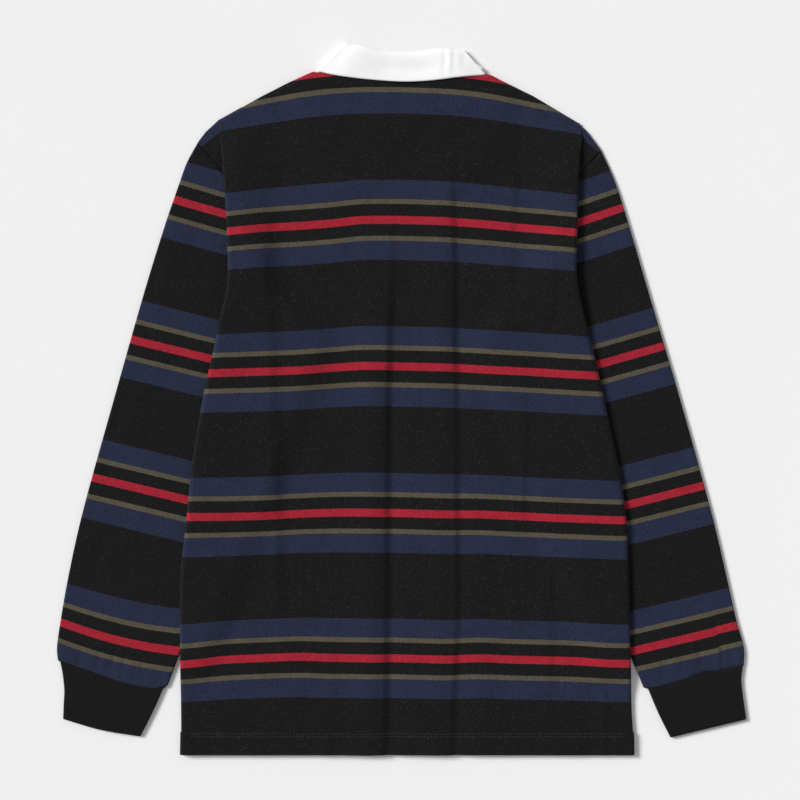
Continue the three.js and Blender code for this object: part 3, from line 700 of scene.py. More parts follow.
def cloth_coordinates(points, band):
    """Coordinates across and along the cloth for a grid of points."""
    steps = np.linalg.norm(np.diff(points, axis=1), axis=2)
    across = np.concatenate([np.zeros((len(points), 1)), np.cumsum(steps, axis=1)], axis=1)
    middle = across[:, across.shape[1] // 2]
    return np.stack([across - middle[:, None], band(points[..., 0], points[..., 1])], axis=-1)


def back_panel():
    sections = [back_section(share) for share in row_shares(BACK_GRID["rows"])]
    points = np.array([section[0] for section in sections])
    normals = np.array([section[1] for section in sections])
    thick = wall_at(points[..., 1]) - CLOTH / 2
    outer = points + normals * thick[..., None]
    inner = points - normals * CLOTH / 2
    uv = cloth_coordinates(points, body_band)
    return wall_between("back", outer, inner, uv, uv)


def front_top(x):
    """Height of the front's neck seam, and nothing that cuts the front beside it."""
    seam = plan_curve([COLLAR["back_seam"][0], *COLLAR["front_seam"]])(np.linspace(0, 1, 60))
    seam = seam[np.argsort(seam[:, 0])]
    neck = np.interp(-np.abs(x), seam[:, 0], seam[:, 1] - 0.5)
    return np.where(np.abs(x) < -COLLAR["back_seam"][0][0], neck, np.inf)


# How far the front's small form may rise: at least, per mm of the back's loft, up to a loft of
FRONT_RISE = dict(least=0.06, share=0.3, loft=1.8)


def front_relief(x, y):
    """Small form of the front's cloth, which only rises, and least where the back lies close."""
    detail = creases(FRONT_CREASES, x, y) + 0.6 * unevenness(x, y, 2.0)
    loft = np.minimum(loft_at(x, y), FRONT_RISE["loft"])
    return np.clip(detail, 0, FRONT_RISE["least"] + FRONT_RISE["share"] * loft)


def front_panel():
    inset = lambda y: float(column_at(FRONT_INSET, "y", "inset", y))
    slot = PLACKET["half"] + SEAM_GAP
    places = column_places(FRONT_GRID["columns"])
    places = np.sort(np.append(places[np.abs(np.abs(places) - slot) > 1], [-slot, slot]))
    tops = np.minimum(column_at(SHOULDER_LINE, "x", "y", places), front_top(places))
    slot_share = (PLACKET["bottom"] - SEAM_GAP) / front_top(0.0)
    shares = np.sort(np.append(row_shares(FRONT_GRID["rows"]), slot_share))
    rows = [body_row(share, inset, places, tops) for share in shares]
    x = np.array([row[0] for row in rows])
    y = np.array([row[1] for row in rows])
    low = front_base(x, y) + front_relief(x, y)
    uv = np.stack([x, body_band(x, y)], axis=-1)
    lower = np.stack([x, y, low], axis=-1)
    upper = np.stack([x, y, low + wall_at(y)], axis=-1)
    kept = np.ones((len(shares) - 1, len(places) - 1), bool)
    above = shares[:-1] >= slot_share - NEARLY
    within = (places[:-1] >= -slot - NEARLY) & (places[1:] <= slot + NEARLY)
    kept[np.ix_(above, within)] = False
    return wall_between("front", upper, lower, uv, uv, kept=kept)


TIP_FORM = dict(rounding=0.55, reach=2.2, relief=0.5, lowest=-0.4, highest=1.0)


def shoulder_tip(name, layer, low, high):
    """One layer of the shoulder piece beyond the side fold."""
    tip = SHOULDER_TIPS[name]
    upper, lower = straight_curve(tip["upper"]), straight_curve(tip["lower"])
    if layer == "front":
        start = tip["front_start"]
        upper = straight_curve([start[0], *tip["upper"][2:]])
        lower = straight_curve([start[1], *tip["lower"][2:]])
    along = np.linspace(0, 1, TIP_GRID["rows"])
    across = np.linspace(0, 1, TIP_GRID["columns"])
    a = across[None, :, None]
    plan = lerp(upper(along)[:, None, :], lower(along)[:, None, :], a)
    x, y = plan[..., 0], plan[..., 1]
    length = np.linalg.norm(upper(along) - lower(along), axis=1)[:, None]
    near = np.minimum(across[None, :], 1 - across[None, :]) * length
    form = TIP_FORM
    rounding = form["rounding"] * (1 - smoothstep(near, 0, form["reach"]))
    relief = 0
    if layer == "back":
        detail = creases(TIP_CREASES[name], x, y)
        relief = form["relief"] * np.clip(detail, form["lowest"], form["highest"])
    uv = np.stack([x, tip_band(name, x, y)], axis=-1)
    top = np.stack([x, y, high - rounding + relief], axis=-1)
    bottom = np.stack([x, y, np.full_like(x, low)], axis=-1)
    return wall_between(f"{layer}_tip_{name}", top, bottom, uv, uv)


# Sleeves and cuffs


def patch(curves, across, along):
    """Plan points inside four boundary curves: across from outer to inner, along to the end."""
    outer, inner, start, end = curves
    across = np.asarray(across, float)
    o, i = outer(along), inner(along)
    s, e = start(across), end(across)
    o0, o1, i0, i1 = outer(0.0), outer(1.0), inner(0.0), inner(1.0)
    a = across[:, None]
    return (
        lerp(o, i, a) + lerp(s, e, along)
        - lerp(lerp(o0, o1, along), lerp(i0, i1, along), a)
    )


# Points round a pressed tube's folded edge: their number, and where the first ones lie
FOLD_POINTS = 7
FOLD_START = 0.12
FOLD_FIRST = 0.01


def flat_ring(curves, along, height, inset, columns):
    """One ring of a pressed tube, over and then under, and each point's place across."""
    ends = patch(curves, [0.0, 1.0], along)
    width = float(np.linalg.norm(ends[1] - ends[0]))
    radius = height / 2 - inset
    edge = inset + radius * (1 - np.cos(np.linspace(FOLD_START, math.pi / 2, FOLD_POINTS)))
    edge[0] = inset + FOLD_FIRST * radius
    middle = np.linspace(edge[-1], width - edge[-1], columns + 1)[1:-1]
    places = np.concatenate([edge, middle, width - edge[::-1]])
    from_edge = np.minimum(places, width - places) - inset
    reach = 1 - np.minimum(from_edge / radius, 1)
    rise = radius * np.sqrt(1 - reach ** 2)
    plan = patch(curves, places / width, along)
    over = np.column_stack([plan, height / 2 + rise])
    under = np.column_stack([plan, height / 2 - rise])
    across = np.concatenate([places, places[::-1]])
    return np.vstack([over, under[::-1]]), across


def flat_tube(name, curves, grid, wall, height_at, band, relief):
    """Tube pressed flat, with two walls: relief is added to the upper layer."""
    shares = np.linspace(0, 1, grid["rows"] + 1)
    columns = grid["columns"]
    grids = []
    for inset in (0.0, wall):
        rings = [flat_ring(curves, share, height_at(share), inset, columns) for share in shares]
        points = np.array([ring[0] for ring in rings])
        across = np.array([ring[1] for ring in rings])
        half = points.shape[1] // 2
        upper = points[:, :half]
        upper[..., 2] += relief(upper[..., 0], upper[..., 1], across[:, :half], shares)
        uv = np.stack([across, band(points[..., 0], points[..., 1])], axis=-1)
        grids.append((points, uv))
    (outer, outer_uv), (inner, inner_uv) = grids
    return wall_between(name, outer, inner, outer_uv, inner_uv, closed=True)


# Creases of the sleeves' upper layers, in plan
SLEEVE_CREASES = dict(
    left=table(
        "start end half height bow",
        ((-214, 600), (-232, 520), 6, -0.5, 3), ((-240, 560), (-262, 450), 8, 0.5, -5),
        ((-226, 470), (-270, 380), 8, -0.5, 5), ((-300, 380), (-322, 270), 8, -0.45, -4),
        ((-258, 330), (-292, 235), 9, 0.5, 6), ((-316, 240), (-338, 150), 7, -0.5, -4),
        ((-305, 118), (-318, 84), 3.2, -0.8), ((-321, 116), (-331, 88), 2.6, -0.7),
        ((-296, 112), (-302, 82), 2.6, -0.7), ((-344, 116), (-348, 92), 3.0, -0.5),
        ((-278, 104), (-280, 78), 2.8, -0.5),
    ),
    right=table(
        "start end half height bow",
        ((206, 596), (226, 516), 6, -0.5, -3), ((232, 560), (256, 452), 8, 0.5, 5),
        ((222, 468), (262, 376), 8, -0.5, -4), ((290, 372), (314, 262), 8, -0.45, 4),
        ((262, 330), (296, 230), 9, 0.5, -6), ((344.9, 84), (343, 122), 1.2, -1.0),
        ((343.4, 112), (333, 158), 3.2, -0.6), ((340, 84), (339, 126), 3.0, 0.5),
        ((318, 122), (322, 92), 3.0, -0.8), ((302, 112), (300, 84), 2.8, -0.6),
        ((352, 118), (356, 94), 2.8, -0.5), ((284, 106), (278, 80), 3.0, -0.5),
    ),
)


def sleeve(name, outlines):
    curves = [plan_curve(outlines[key]) for key in ("outer", "inner", "armhole", "wrist")]

    def height_at(along):
        grown = smoothstep(along, 0, 0.15)
        return float(lerp(SLEEVE_HEIGHT_AT_ARMHOLE, SLEEVE_HEIGHT, grown))

    def relief(x, y, across, shares):
        width = across.max(axis=1, keepdims=True)
        near = np.minimum(across, width - across)
        detail = creases(SLEEVE_CREASES[name], x, y) + unevenness(x, y, 1.0)
        return np.maximum(detail, DEEPEST["sleeve"]) * smoothstep(near, 1, EDGE_CALM)

    def band(x, y):
        return sleeve_band(name, x, y)

    return flat_tube(f"sleeve_cloth_{name}", curves, SLEEVE_GRID, CLOTH, height_at, band, relief)


RIB_PITCH = 2.3
RIB_HEIGHT = 0.22
RIBBED_WIDTH = 95

# How deep the seam pulls the cuff in, and over which share of its length
CUFF_PULL = dict(depth=0.5, reach=0.06)


def cuff(name, outlines):
    keys = ("cuff_outer", "cuff_inner", "cuff_top", "cuff_end")
    curves = [plan_curve(outlines[key]) for key in keys]

    def relief(x, y, across, shares):
        width = across.max(axis=1, keepdims=True)
        near = np.minimum(across, width - across)
        count = np.round(RIBBED_WIDTH / RIB_PITCH)
        ribs = RIB_HEIGHT * np.cos(2 * math.pi * across / width * count)
        pull = -CUFF_PULL["depth"] * np.exp(-((shares[:, None] / CUFF_PULL["reach"]) ** 2))
        return (ribs + pull + 0.3 * unevenness(x, y, 0.7)) * smoothstep(near, 0.5, 5)

    def height_at(along):
        return CUFF_HEIGHT

    def band(x, y):
        return y

    return flat_tube(f"cuff_rib_{name}", curves, CUFF_GRID, RIB_WALL, height_at, band, relief)


# Collar


# How far the collar's rolled ends reach out, as a share of half their height
ROLL_REACH = 0.25
ROLL_STEPS = 14
BACK_STEPS = 75
FRONT_SHARES = np.linspace(1, 0.03, 34)
ROUNDED_EDGE = dict(share=0.55, reach=0.02)
NECK_UV = dict(row=2.6, depth=40)


def neck_band(name, fold_line, edge_line, front_fold, front_edge, low, high, wall, across, relief):
    """Band round the neck: one front part underneath, the back on top, the other front part."""
    radius = (high - low) / 2
    sections, normals = [], []
    shares = np.linspace(0, 1, across + 1)[:, None]

    def add(start, end, z, normal):
        plan = lerp(np.asarray(start), np.asarray(end), shares)
        sections.append(np.column_stack([plan, np.full(len(plan), z)]))
        normals.append(np.tile(normal, (len(plan), 1)))

    def front_rows(side):
        at = 0.0 if side < 0 else 1.0
        mirrored = lambda rows: [(-side * x, y) for x, y in rows]
        fold = plan_curve([tuple(fold_line(at)), *mirrored(front_fold)])
        edge = plan_curve([tuple(edge_line(at)), *mirrored(front_edge)])
        return [(fold(share), edge(share)) for share in FRONT_SHARES]

    def roll(side):
        at = 0.0 if side < 0 else 1.0
        fold, edge = fold_line(at), edge_line(at)
        length = float(np.linalg.norm(edge - fold))
        out = np.array([side * (fold[1] - edge[1]), abs(edge[0] - fold[0])]) / length
        rows = []
        for i in range(ROLL_STEPS + 1):
            angle = math.pi * (1 - i / ROLL_STEPS)
            away = out * radius * ROLL_REACH * math.sin(angle)
            normal = (out[0] * math.sin(angle), out[1] * math.sin(angle), math.cos(angle))
            rows.append((fold + away, edge + away, low + radius * (1 + math.cos(angle)), normal))
        return rows

    for fold, edge in front_rows(-1):
        add(fold, edge, low, (0, 0, -1))
    for row in roll(-1):
        add(*row)
    for share in np.linspace(0, 1, BACK_STEPS + 1)[1:-1]:
        fold, edge = fold_line(share), edge_line(share)
        reach = max(0.0, 1 - (fold[0] / COLLAR["sag_half"]) ** 2)
        add(fold, edge, high - COLLAR["sag"] * reach * reach, (0, 0, 1))
    for row in roll(1)[::-1]:
        add(*row)
    for fold, edge in front_rows(1)[::-1]:
        add(fold, edge, low, (0, 0, -1))
    points, normals = np.array(sections), np.array(normals)
    lifted = relief(points, shares[:, 0]) * np.clip(normals[..., 2:3], 0, 1)
    points[..., 2:3] += lifted
    from_edge = (1 - shares[:, 0]) / ROUNDED_EDGE["reach"]
    edge_round = 1 - ROUNDED_EDGE["share"] * np.exp(-from_edge ** 2)[None, :, None]
    outer = points + normals * wall / 2 * edge_round
    inner = points - normals * wall / 2
    around, down = np.arange(len(points)) * NECK_UV["row"], shares[:, 0] * NECK_UV["depth"]
    uv = np.stack(np.meshgrid(around, down, indexing="ij"), axis=-1)
    return wall_between(name, outer, inner, uv, uv)


# Ripples and hollows of the leaf's back, in plan
LEAF_CREASES = table(
    "start end half height bow",
    ((46, 762), (44, 726), 2.8, -0.5, 1), ((50.5, 763), (50, 728), 3.0, 0.35, 1),
    ((56.5, 763), (55.5, 728), 2.4, -0.45, -1), ((68, 756), (66, 734), 2.6, -0.35, -1),
    ((-42, 741), (46, 739), 8, -1.4, -4), ((-50, 727), (60, 728), 4, 0.4, -6),
    ((-74, 752), (-66, 732), 6, -0.3, 2),
)


LEAF_FORM = dict(crown=0.6, fold=1.3, fold_reach=0.09, fall=2.0, fall_reach=11)


def collar_leaf():
    """Turned-down leaf: crowned between fold and edge, and falling away at both ends."""
    form = LEAF_FORM

    def relief(points, shares):
        x, y = points[..., 0], points[..., 1]
        detail = creases(LEAF_CREASES, x, y) + 0.3 * unevenness(x * 1.6, y * 1.6, 0.3)
        crown = form["crown"] * np.sin(math.pi * np.clip(shares, 0, 1))[None, :]
        fold = -form["fold"] * np.exp(-((shares / form["fold_reach"]) ** 2))[None, :]
        fall = np.zeros_like(x)
        for at in (0, -1):
            (ax, ay), (bx, by) = COLLAR["back_fold"][at], COLLAR["back_edge"][at]
            along = math.hypot(bx - ax, by - ay)
            inside = np.abs((x - ax) * (by - ay) - (y - ay) * (bx - ax)) / along
            fall = fall - form["fall"] * np.exp(-((inside / form["fall_reach"]) ** 2))
        return np.maximum(detail + crown + fold + fall, DEEPEST["leaf"])[..., None]

    return neck_band(
        "collar_leaf_cloth", plan_curve(COLLAR["back_fold"]), plan_curve(COLLAR["back_edge"]),
        COLLAR["front_fold"], COLLAR["front_edge"],
        COLLAR["leaf_low"], COLLAR["leaf_high"], LEAF_WALL, LEAF_COLUMNS, relief,
    )


STAND_SHIFT = dict(narrower=0.96, back=2.2, front=1)


def collar_stand():
    """Stand inside the leaf, on the neck seam."""
    shift = STAND_SHIFT
    lowered = [(x * shift["narrower"], y - shift["back"]) for x, y in COLLAR["back_fold"]]
    inside = [(x - shift["front"], y - shift["front"]) for x, y in COLLAR["front_fold"]]
    return neck_band(
        "collar_stand_cloth", plan_curve(lowered), plan_curve(COLLAR["back_seam"]),
        inside, COLLAR["front_seam"],
        COLLAR["stand_low"], COLLAR["stand_high"], STAND_WALL, STAND_COLUMNS,
        lambda points, shares: np.zeros(points.shape[:2] + (1,)),
    )


# Placket


STRIP_EDGE = np.array([0, 0.25, 0.6, 1.1, 2.0, 3.4])
STRIP_TUCK = dict(edge=0.32, reach=0.5, seam=0.10, seam_at=3.4, seam_half=0.9, most=0.42)


def placket_strip(name, shape):
    """One folded strip of the placket, with rounded edges and a rib where it is stitched."""
    half, bottom, top = shape["half"], shape["bottom"], shape["top"]
    edge, tuck = STRIP_EDGE, STRIP_TUCK
    across = np.concatenate([edge, np.linspace(5, 2 * half - 5, 12), 2 * half - edge[::-1]]) - half
    length = top - bottom
    along = np.concatenate([edge, np.linspace(6, length - 6, 60), length - edge[::-1]]) + bottom
    x, y = np.meshgrid(across, along)
    near = np.minimum(half - np.abs(x), np.minimum(y - bottom, top - y))
    wall = shape["high"] - shape["low"]
    seam = tuck["seam"] * np.exp(-(((near - tuck["seam_at"]) / tuck["seam_half"]) ** 2))
    depth = wall * (tuck["edge"] * np.exp(-near / tuck["reach"]) + seam)
    depth = np.minimum(depth, tuck["most"] * wall)
    uv = np.stack([x, y], axis=-1)
    upper = np.stack([x, y, shape["high"] - depth], axis=-1)
    lower = np.stack([x, y, shape["low"] + depth * 0.6], axis=-1)
    return wall_between(name, upper, lower, uv, uv)


# Seams


CORD_SIDES = 10
CORD_STEPS = 70
CORD_WAVES = dict(first=0.08, first_rate=190, second=0.05, second_rate=71)
CORD_CORE = 0.9
ARMHOLE_CORD = dict(middle=1.35, radius=0.8)
CUFF_CORD = dict(middle=2.2, radius=1.1)


def seam_cord(name, line, middle, radius):
    """Turned-in edges that fill a seam: a slim round cord along a plan line."""
    steps = np.linspace(0, 1, CORD_STEPS)
    plan = line(steps)
    along = np.gradient(plan, axis=0)
    along /= np.linalg.norm(along, axis=1, keepdims=True)
    side = np.stack([along[:, 1], -along[:, 0]], axis=1)
    turn = np.linspace(0, 2 * math.pi, CORD_SIDES, endpoint=False)
    wave = CORD_WAVES
    uneven = 1 + wave["first"] * np.sin(steps * wave["first_rate"])
    uneven = uneven + wave["second"] * np.sin(steps * wave["second_rate"] + 1)
    points = np.zeros((CORD_STEPS, CORD_SIDES, 3))
    reach = radius * uneven[:, None] * np.cos(turn)[None, :]
    points[..., :2] = plan[:, None, :] + side[:, None, :] * reach[..., None]
    points[..., 2] = middle + radius * uneven[:, None] * np.sin(turn)[None, :]
    core = points.copy()
    core[..., :2] = lerp(points[..., :2], plan[:, None, :], CORD_CORE)
    core[..., 2] = lerp(points[..., 2], middle, CORD_CORE)
    uv = np.stack([points[..., 0], np.zeros_like(points[..., 0])], axis=-1)
    return wall_between(name, points, core, uv, uv, closed=True)


# Stitches


PITCH = 3.3
STITCH_LENGTH = 2.1


def stitches(name, path, normal_up, radius):
    """Row of short stitches along points, each a slim faceted bead, as one mesh."""
    path = np.asarray(path, float)
    steps = np.linalg.norm(np.diff(path, axis=0), axis=1)
    lengths = np.concatenate([[0], np.cumsum(steps)])
    points, faces = [], []
    for centre in np.arange(PITCH, lengths[-1] - PITCH, PITCH):
        ends = [
            np.array([np.interp(centre + shift, lengths, path[:, k]) for k in range(3)])
            for shift in (-STITCH_LENGTH / 2, STITCH_LENGTH / 2)
        ]
        along = ends[1] - ends[0]
        along /= np.linalg.norm(along)
        side = np.cross(along, [0, 0, 1.0])
        up = np.array([0, 0, normal_up])
        ring = [side * radius, up * radius, -side * radius, -up * radius]
        middle = (ends[0] + ends[1]) / 2
        belly = [
            middle + along * shift + offset
            for shift in (-STITCH_LENGTH / 4, STITCH_LENGTH / 4) for offset in ring
        ]
        first = len(points)
        points += [ends[0], *belly, ends[1]]
        for k in range(4):
            n = (k + 1) % 4
            faces.append((first, first + 1 + n, first + 1 + k))
            faces.append((first + 1 + k, first + 1 + n, first + 5 + n))
            faces.append((first + 1 + k, first + 5 + n, first + 5 + k))
            faces.append((first + 9, first + 5 + k, first + 5 + n))
    return mesh_object(name, np.array(points), np.array(faces))


def back_top(x, y):
    """Top of the back's cloth at plan points away from its rolled edges."""
    return back_base(x, y) + wall_at(y) + back_relief(x, y)


def front_underside(x, y):
    """Underside of the front's cloth at plan points."""
    return front_base(x, y) + front_relief(x, y)


# The two hems' rows: their ends, how far they stand off the cloth, which way is out, thickness
BACK_HEM = dict(ends=(-228, 239), above=0.05, normal_up=1.0, radius=0.3)
FRONT_HEM = dict(ends=(-222, 234), above=0.12, normal_up=-1.0, radius=0.2)


def hem_stitches(name, hem, surface):
    """Rows of stitches along one hem, on a surface."""
    rows = []
    for i, y in enumerate(HEM_ROWS):
        x = np.linspace(*hem["ends"], 240)
        level = np.full_like(x, y)
        path = np.column_stack([x, level, surface(x, level) + hem["above"]])
        rows.append(stitches(f"{name}_{i + 1}", path, hem["normal_up"], hem["radius"]))
    return rows


# Materials


def node(tree, kind, **values):
    made = tree.nodes.new(kind)
    for key, value in values.items():
        setattr(made, key, value)
    return made


def link(tree, start, end):
    tree.links.new(start, end)


def set_inputs(made, **values):
    """Sets sockets, whose names have _ in place of each space."""
    for name, value in values.items():
        made.inputs[name.replace("_", " ")].default_value = value


def math_node(tree, operation, first, second=None):
    made = node(tree, "ShaderNodeMath", operation=operation)
    for i, value in enumerate((first, second)):
        if value is None:
            continue
        if hasattr(value, "links"):
            link(tree, value, made.inputs[i])
        else:
            made.inputs[i].default_value = value
    return made.outputs[0]


def srgb(red, green, blue):
    """Linear colour with full alpha from one written in 0 to 255."""
    def one(value):
        share = value / 255
        return share / 12.92 if share <= 0.04045 else ((share + 0.055) / 1.055) ** 2.4
    return (one(red), one(green), one(blue), 1.0)


COLOURS = dict(
    black=srgb(14, 14, 14),
    navy=srgb(33, 38, 61),
    olive=srgb(80, 74, 60),
    red=srgb(155, 28, 45),
    rib=srgb(15, 15, 15),
    white=srgb(236, 236, 236),
    rubber=srgb(226, 224, 218),
    thread=srgb(64, 64, 66),
    lint=srgb(72, 72, 78),
    floor=(0.80, 0.80, 0.80, 1),
)
WALE = 1.15 * MM
COURSE = dict(jersey=0.95 * MM, rib=1.0 * MM)
KNIT_SURFACE = dict(Specular_IOR_Level=0.12, Sheen_Weight=0.06, Sheen_Roughness=0.55)
FUZZ = dict(scale=1500.0, detail=2.0, rough=0.6)


def new_material(name):
    """Material with its node tree, its shader and the place on the object."""
    material = bpy.data.materials.new(name)
    material.use_nodes = True
    tree = material.node_tree
    tree.nodes.clear()
    output = node(tree, "ShaderNodeOutputMaterial")
    shader = node(tree, "ShaderNodeBsdfPrincipled")
    link(tree, shader.outputs[0], output.inputs[0])
    return material, tree, shader, node(tree, "ShaderNodeTexCoord").outputs["Object"]


def noise(tree, vector, scale, detail=2.0, rough=0.5):
    made = node(tree, "ShaderNodeTexNoise")
    set_inputs(made, Scale=scale, Detail=detail, Roughness=rough)
    link(tree, vector, made.inputs["Vector"])
    return made.outputs["Fac"]


def map_range(tree, value, low, high, start=0.0, end=1.0):
    """Value from start to end, spread from low to high."""
    made = node(tree, "ShaderNodeMapRange")
    set_inputs(made, From_Min=start, From_Max=end, To_Min=low, To_Max=high)
    link(tree, value, made.inputs["Value"])
    return made.outputs[0]


def shaded(tree, colour, amount):
    """Colour multiplied by a factor."""
    grey = node(tree, "ShaderNodeCombineXYZ")
    for socket in grey.inputs:
        link(tree, amount, socket)
    mix = node(tree, "ShaderNodeMix", data_type="RGBA", blend_type="MULTIPLY")
    mix.inputs["Factor"].default_value = 1.0
    link(tree, colour, mix.inputs["A"])
    link(tree, grey.outputs[0], mix.inputs["B"])
    return mix.outputs["Result"]


def varied(tree, colour, position, low, high, scale):
    """Colour made slightly lighter and darker by a broad noise."""
    return shaded(tree, colour, map_range(tree, noise(tree, position, scale, 3.0), low, high))


def varied_plain(tree, shader, colour, position, low, high, scale):
    """One colour as the shader's base, made slightly lighter and darker."""
    base = node(tree, "ShaderNodeRGB")
    base.outputs[0].default_value = colour
    link(tree, varied(tree, base.outputs[0], position, low, high, scale), shader.inputs["Base Color"])


def varied_roughness(tree, shader, position, low, high, scale):
    rough = map_range(tree, noise(tree, position, scale), low, high)
    link(tree, rough, shader.inputs["Roughness"])


def add_bump(tree, shader, first, second, strength, distance):
    """Bump from the sum of two heights."""
    bump = node(tree, "ShaderNodeBump")
    set_inputs(bump, Strength=strength, Distance=distance)
    link(tree, math_node(tree, "ADD", first, second), bump.inputs["Height"])
    link(tree, bump.outputs[0], shader.inputs["Normal"])


def cloth_places(tree):
    """Places across and along the cloth."""
    parts = node(tree, "ShaderNodeSeparateXYZ")
    link(tree, node(tree, "ShaderNodeUVMap", uv_map="cloth").outputs[0], parts.inputs[0])
    return parts.outputs[0], parts.outputs[1]


def knit_height(tree, across, along, course):
    """Height of plain knit: narrow wales that split into slanted halves at each course."""
    wales = math_node(tree, "SINE", math_node(tree, "MULTIPLY", across, 2 * math.pi / WALE))
    lean = math_node(tree, "MULTIPLY", math_node(tree, "ABSOLUTE", wales), 1.6)
    rows = math_node(tree, "MULTIPLY", along, 2 * math.pi / course)
    loops = math_node(tree, "SINE", math_node(tree, "ADD", rows, lean))
    body = math_node(tree, "MULTIPLY", math_node(tree, "ABSOLUTE", wales), 0.65)
    return math_node(tree, "ADD", body, math_node(tree, "MULTIPLY", loops, 0.35))


def band_colour(tree, along, position):
    """Colour of the cloth's bands from the place along it."""
    wander = math_node(tree, "SUBTRACT", noise(tree, position, 620.0, 1.0), 0.5)
    edge = math_node(tree, "ADD", along, math_node(tree, "MULTIPLY", wander, 0.9 * MM))
    shifted = math_node(tree, "SUBTRACT", edge, (FIRST_GROUP - 10.5 * PERIOD) * MM)
    turn = math_node(tree, "FRACT", math_node(tree, "DIVIDE", shifted, PERIOD * MM))
    from_middle = math_node(tree, "ABSOLUTE", math_node(tree, "SUBTRACT", turn, 0.5))
    stripes = node(tree, "ShaderNodeValToRGB")
    stripes.color_ramp.interpolation = "CONSTANT"
    stops = stripes.color_ramp.elements
    stops.remove(stops[1])
    for i, (name, start) in enumerate(BANDS.items()):
        stop = stops[0] if i == 0 else stops.new(start / (PERIOD / 2))
        stop.color = COLOURS[name.split("_")[0]]
    stops[0].position = 0.0
    link(tree, math_node(tree, "MULTIPLY", from_middle, 2.0), stripes.inputs[0])
    return stripes.outputs[0]


def jersey():
    """Plain knit in bands, worn a little uneven, with pale lint, and with painted shade and highlight
    that follow the knit's loops.
    """
    material, tree, shader, position = new_material("banded_jersey")
    across, along = cloth_places(tree)
    colour = band_colour(tree, along, position)
    colour = varied(tree, colour, position, 0.86, 1.14, 55.0)
    colour = varied(tree, colour, position, 0.5, 1.5, 420.0)
    yarn = knit_height(tree, across, along, COURSE["jersey"])
    flecks = map_range(tree, noise(tree, position, 480.0, 3.0, 0.75), 0.0, 0.5, 0.56, 0.80)
    lint = node(tree, "ShaderNodeMix", data_type="RGBA", blend_type="MIX")
    lint.inputs["B"].default_value = COLOURS["lint"]
    link(tree, flecks, lint.inputs["Factor"])
    # Painted shade and highlight: the colour is made darker where the knit lies low between its loops
    # and lighter on the raised loops, following the knit's height
    link(tree, shaded(tree, colour, map_range(tree, yarn, 0.78, 1.16)), lint.inputs["A"])
    link(tree, lint.outputs["Result"], shader.inputs["Base Color"])
    varied_roughness(tree, shader, position, 0.82, 0.98, 240.0)
    fuzz = math_node(tree, "MULTIPLY", noise(tree, position, **FUZZ), 0.5)
    add_bump(tree, shader, yarn, fuzz, 0.45, 0.25 * MM)
    set_inputs(shader, **KNIT_SURFACE)
    return material


def rib():
    """Black knit of the cuffs and the seams."""
    material, tree, shader, position = new_material("black_rib")
    across, along = cloth_places(tree)
    varied_plain(tree, shader, COLOURS["rib"], position, 0.75, 1.3, 80.0)
    varied_roughness(tree, shader, position, 0.84, 0.98, 260.0)
    fuzz = math_node(tree, "MULTIPLY", noise(tree, position, **FUZZ), 0.6)
    add_bump(tree, shader, knit_height(tree, across, along, COURSE["rib"]), fuzz, 0.5, 0.25 * MM)
    set_inputs(shader, **KNIT_SURFACE)
    return material


def woven(name, colour, pitch, strength, low=0.95, high=1.03):
    """Plain woven cotton: crossing threads, faint unevenness and a dry surface."""
    material, tree, shader, position = new_material(name)
    varied_plain(tree, shader, COLOURS[colour], position, low, high, 120.0)
    varied_roughness(tree, shader, position, 0.78, 0.92, 300.0)
    parts = node(tree, "ShaderNodeSeparateXYZ")
    link(tree, position, parts.inputs[0])
    turn = 2 * math.pi / pitch
    warp = math_node(tree, "SINE", math_node(tree, "MULTIPLY", parts.outputs[0], turn))
    weft = math_node(tree, "SINE", math_node(tree, "MULTIPLY", parts.outputs[1], turn))
    slub = noise(tree, position, 700.0, 3.0, 0.6)
    add_bump(tree, shader, math_node(tree, "MULTIPLY", warp, weft), slub, strength, 0.15 * MM)
    set_inputs(shader, Specular_IOR_Level=0.2)
    return material


def thread():
    """Dark grey sewing thread of the hems."""
    material, tree, shader, position = new_material("grey_thread")
    varied_plain(tree, shader, COLOURS["thread"], position, 0.8, 1.2, 900.0)
    set_inputs(shader, Roughness=0.6, Specular_IOR_Level=0.25)
    return material


def floor_material():
    material, tree, shader, position = new_material("pale_floor")
    varied_plain(tree, shader, COLOURS["floor"], position, 0.995, 1.005, 3.0)
    set_inputs(shader, Roughness=0.95, Specular_IOR_Level=0.0)
    return material


# Scene


def put_on(piece, material, slot, *nodes):
    piece.data.materials.clear()
    piece.data.materials.append(material)
    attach(piece, "root")
    if nodes:
        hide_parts(*nodes)


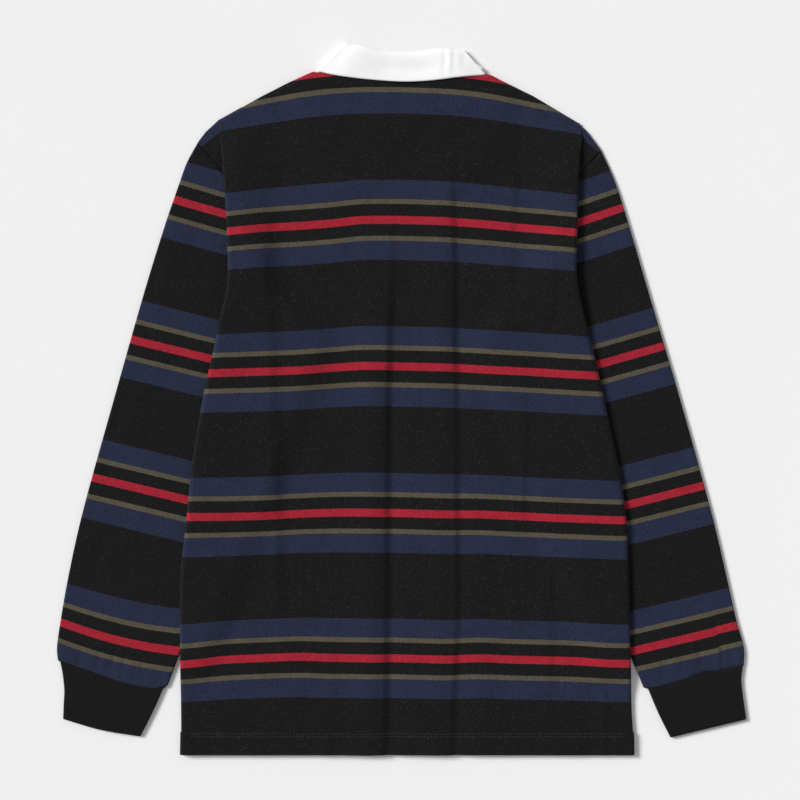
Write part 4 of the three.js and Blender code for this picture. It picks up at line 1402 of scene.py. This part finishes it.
def build_shirt():
    banded = jersey()
    ribbed = rib()
    white = woven("white_collar", "white", 0.9 * MM, 0.25)
    strip = woven("black_placket", "black", 0.9 * MM, 0.3, 0.8, 1.2)
    rubber = woven("matt_rubber", "rubber", 4.0 * MM, 0.05)
    grey_thread = thread()

    back = back_panel()
    put_on(back, banded, "jersey_back", "back_panel")
    front = front_panel()
    put_on(front, banded, "jersey_front", "front_panel")
    for name in SHOULDER_TIPS:
        low = shoulder_tip(name, "front", 0.0, CLOTH)
        put_on(low, banded, "jersey_front")
        high = shoulder_tip(name, "back", CLOTH + TIP_AIR, 2 * CLOTH + TIP_AIR)
        put_on(high, banded, "jersey_back")
    for name, outlines in SLEEVES.items():
        put_on(sleeve(name, outlines), banded, "jersey_sleeve", f"sleeve_{name}")
        put_on(cuff(name, outlines), ribbed, "rib", f"cuff_{name}")
        armhole = straight_curve([outlines["armhole"][index] for index in (0, 2, 3)])
        cord = seam_cord(f"armhole_seam_{name}", armhole, **ARMHOLE_CORD)
        put_on(cord, ribbed, "jersey_sleeve")
        ends = [outlines["wrist"], outlines["cuff_top"]]
        between = [tuple(np.mean(pair, axis=0)) for pair in zip(*ends)]
        cord = seam_cord(f"cuff_seam_{name}", straight_curve(between), **CUFF_CORD)
        put_on(cord, ribbed, "rib")
    put_on(collar_leaf(), white, "collar", "collar_leaf")
    put_on(collar_stand(), white, "collar", "collar_stand")
    for row in hem_stitches("hem_stitches", BACK_HEM, back_top):
        put_on(row, grey_thread, "jersey_back")
    for row in hem_stitches("front_hem_stitches", FRONT_HEM, front_underside):
        put_on(row, grey_thread, "jersey_front")
    put_on(placket_strip("placket_cloth_outer", PLACKET), strip, "placket", "placket_outer")
    put_on(placket_strip("placket_cloth_under", UNDER_PLACKET), strip, "placket", "placket_under")
    for i in range(1, 4):
        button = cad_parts[f"button_{i}"]
        button.data.materials.clear()
        button.data.materials.append(rubber)


# The photograph: its pixels, the width of one on the surface, and the plan place of its middle
FRAME_PIXELS = 800
PIXEL_MM = 1.076
PHOTO_CENTRE = (-2.15, 380.9)
LENS = 85
SENSOR = 36


def add_camera():
    data = bpy.data.cameras.new("camera")
    data.lens = LENS
    data.sensor_width = SENSOR
    camera = bpy.data.objects.new("camera", data)
    distance = FRAME_PIXELS * PIXEL_MM * MM * LENS / SENSOR
    x, y, _ = place([[PHOTO_CENTRE[0], PHOTO_CENTRE[1], 0]])[0]
    camera.location = (x, y, distance)
    bpy.context.scene.collection.objects.link(camera)
    bpy.context.scene.camera = camera


FLOOR_HALF = 3.0
FLOOR_LEVEL = -0.3 * MM


def add_floor():
    mesh = bpy.data.meshes.new("floor")
    corners = rectangle(FLOOR_HALF, -FLOOR_HALF, FLOOR_HALF)
    mesh.from_pydata([(x, y, FLOOR_LEVEL) for x, y in corners], [], [(0, 1, 2, 3)])
    floor = bpy.data.objects.new("floor", mesh)
    mesh.materials.append(floor_material())
    bpy.context.scene.collection.objects.link(floor)


# Where the soft key light stands: above the surface, and round from the shirt's left
KEY_HEIGHT = math.radians(36)
KEY_TURN = math.radians(24)
KEY_SPREAD = math.radians(20)
KEY_STRENGTH = 3.6
WORLD_STRENGTH = 0.42


def add_light():
    world = bpy.data.worlds.new("studio")
    world.use_nodes = True
    background = world.node_tree.nodes["Background"]
    background.inputs["Color"].default_value = (1, 1, 1, 1)
    background.inputs["Strength"].default_value = WORLD_STRENGTH
    bpy.context.scene.world = world
    sun = bpy.data.lights.new("soft_key", "SUN")
    sun.energy = KEY_STRENGTH
    sun.angle = KEY_SPREAD
    key = bpy.data.objects.new("soft_key", sun)
    to_light = Vector((-math.cos(KEY_TURN), math.sin(KEY_TURN), math.tan(KEY_HEIGHT)))
    key.rotation_euler = to_light.to_track_quat("Z", "Y").to_euler()
    bpy.context.scene.collection.objects.link(key)


bpy.context.scene.view_settings.view_transform = "Standard"
add_camera()
add_floor()
add_light()
build_shirt()
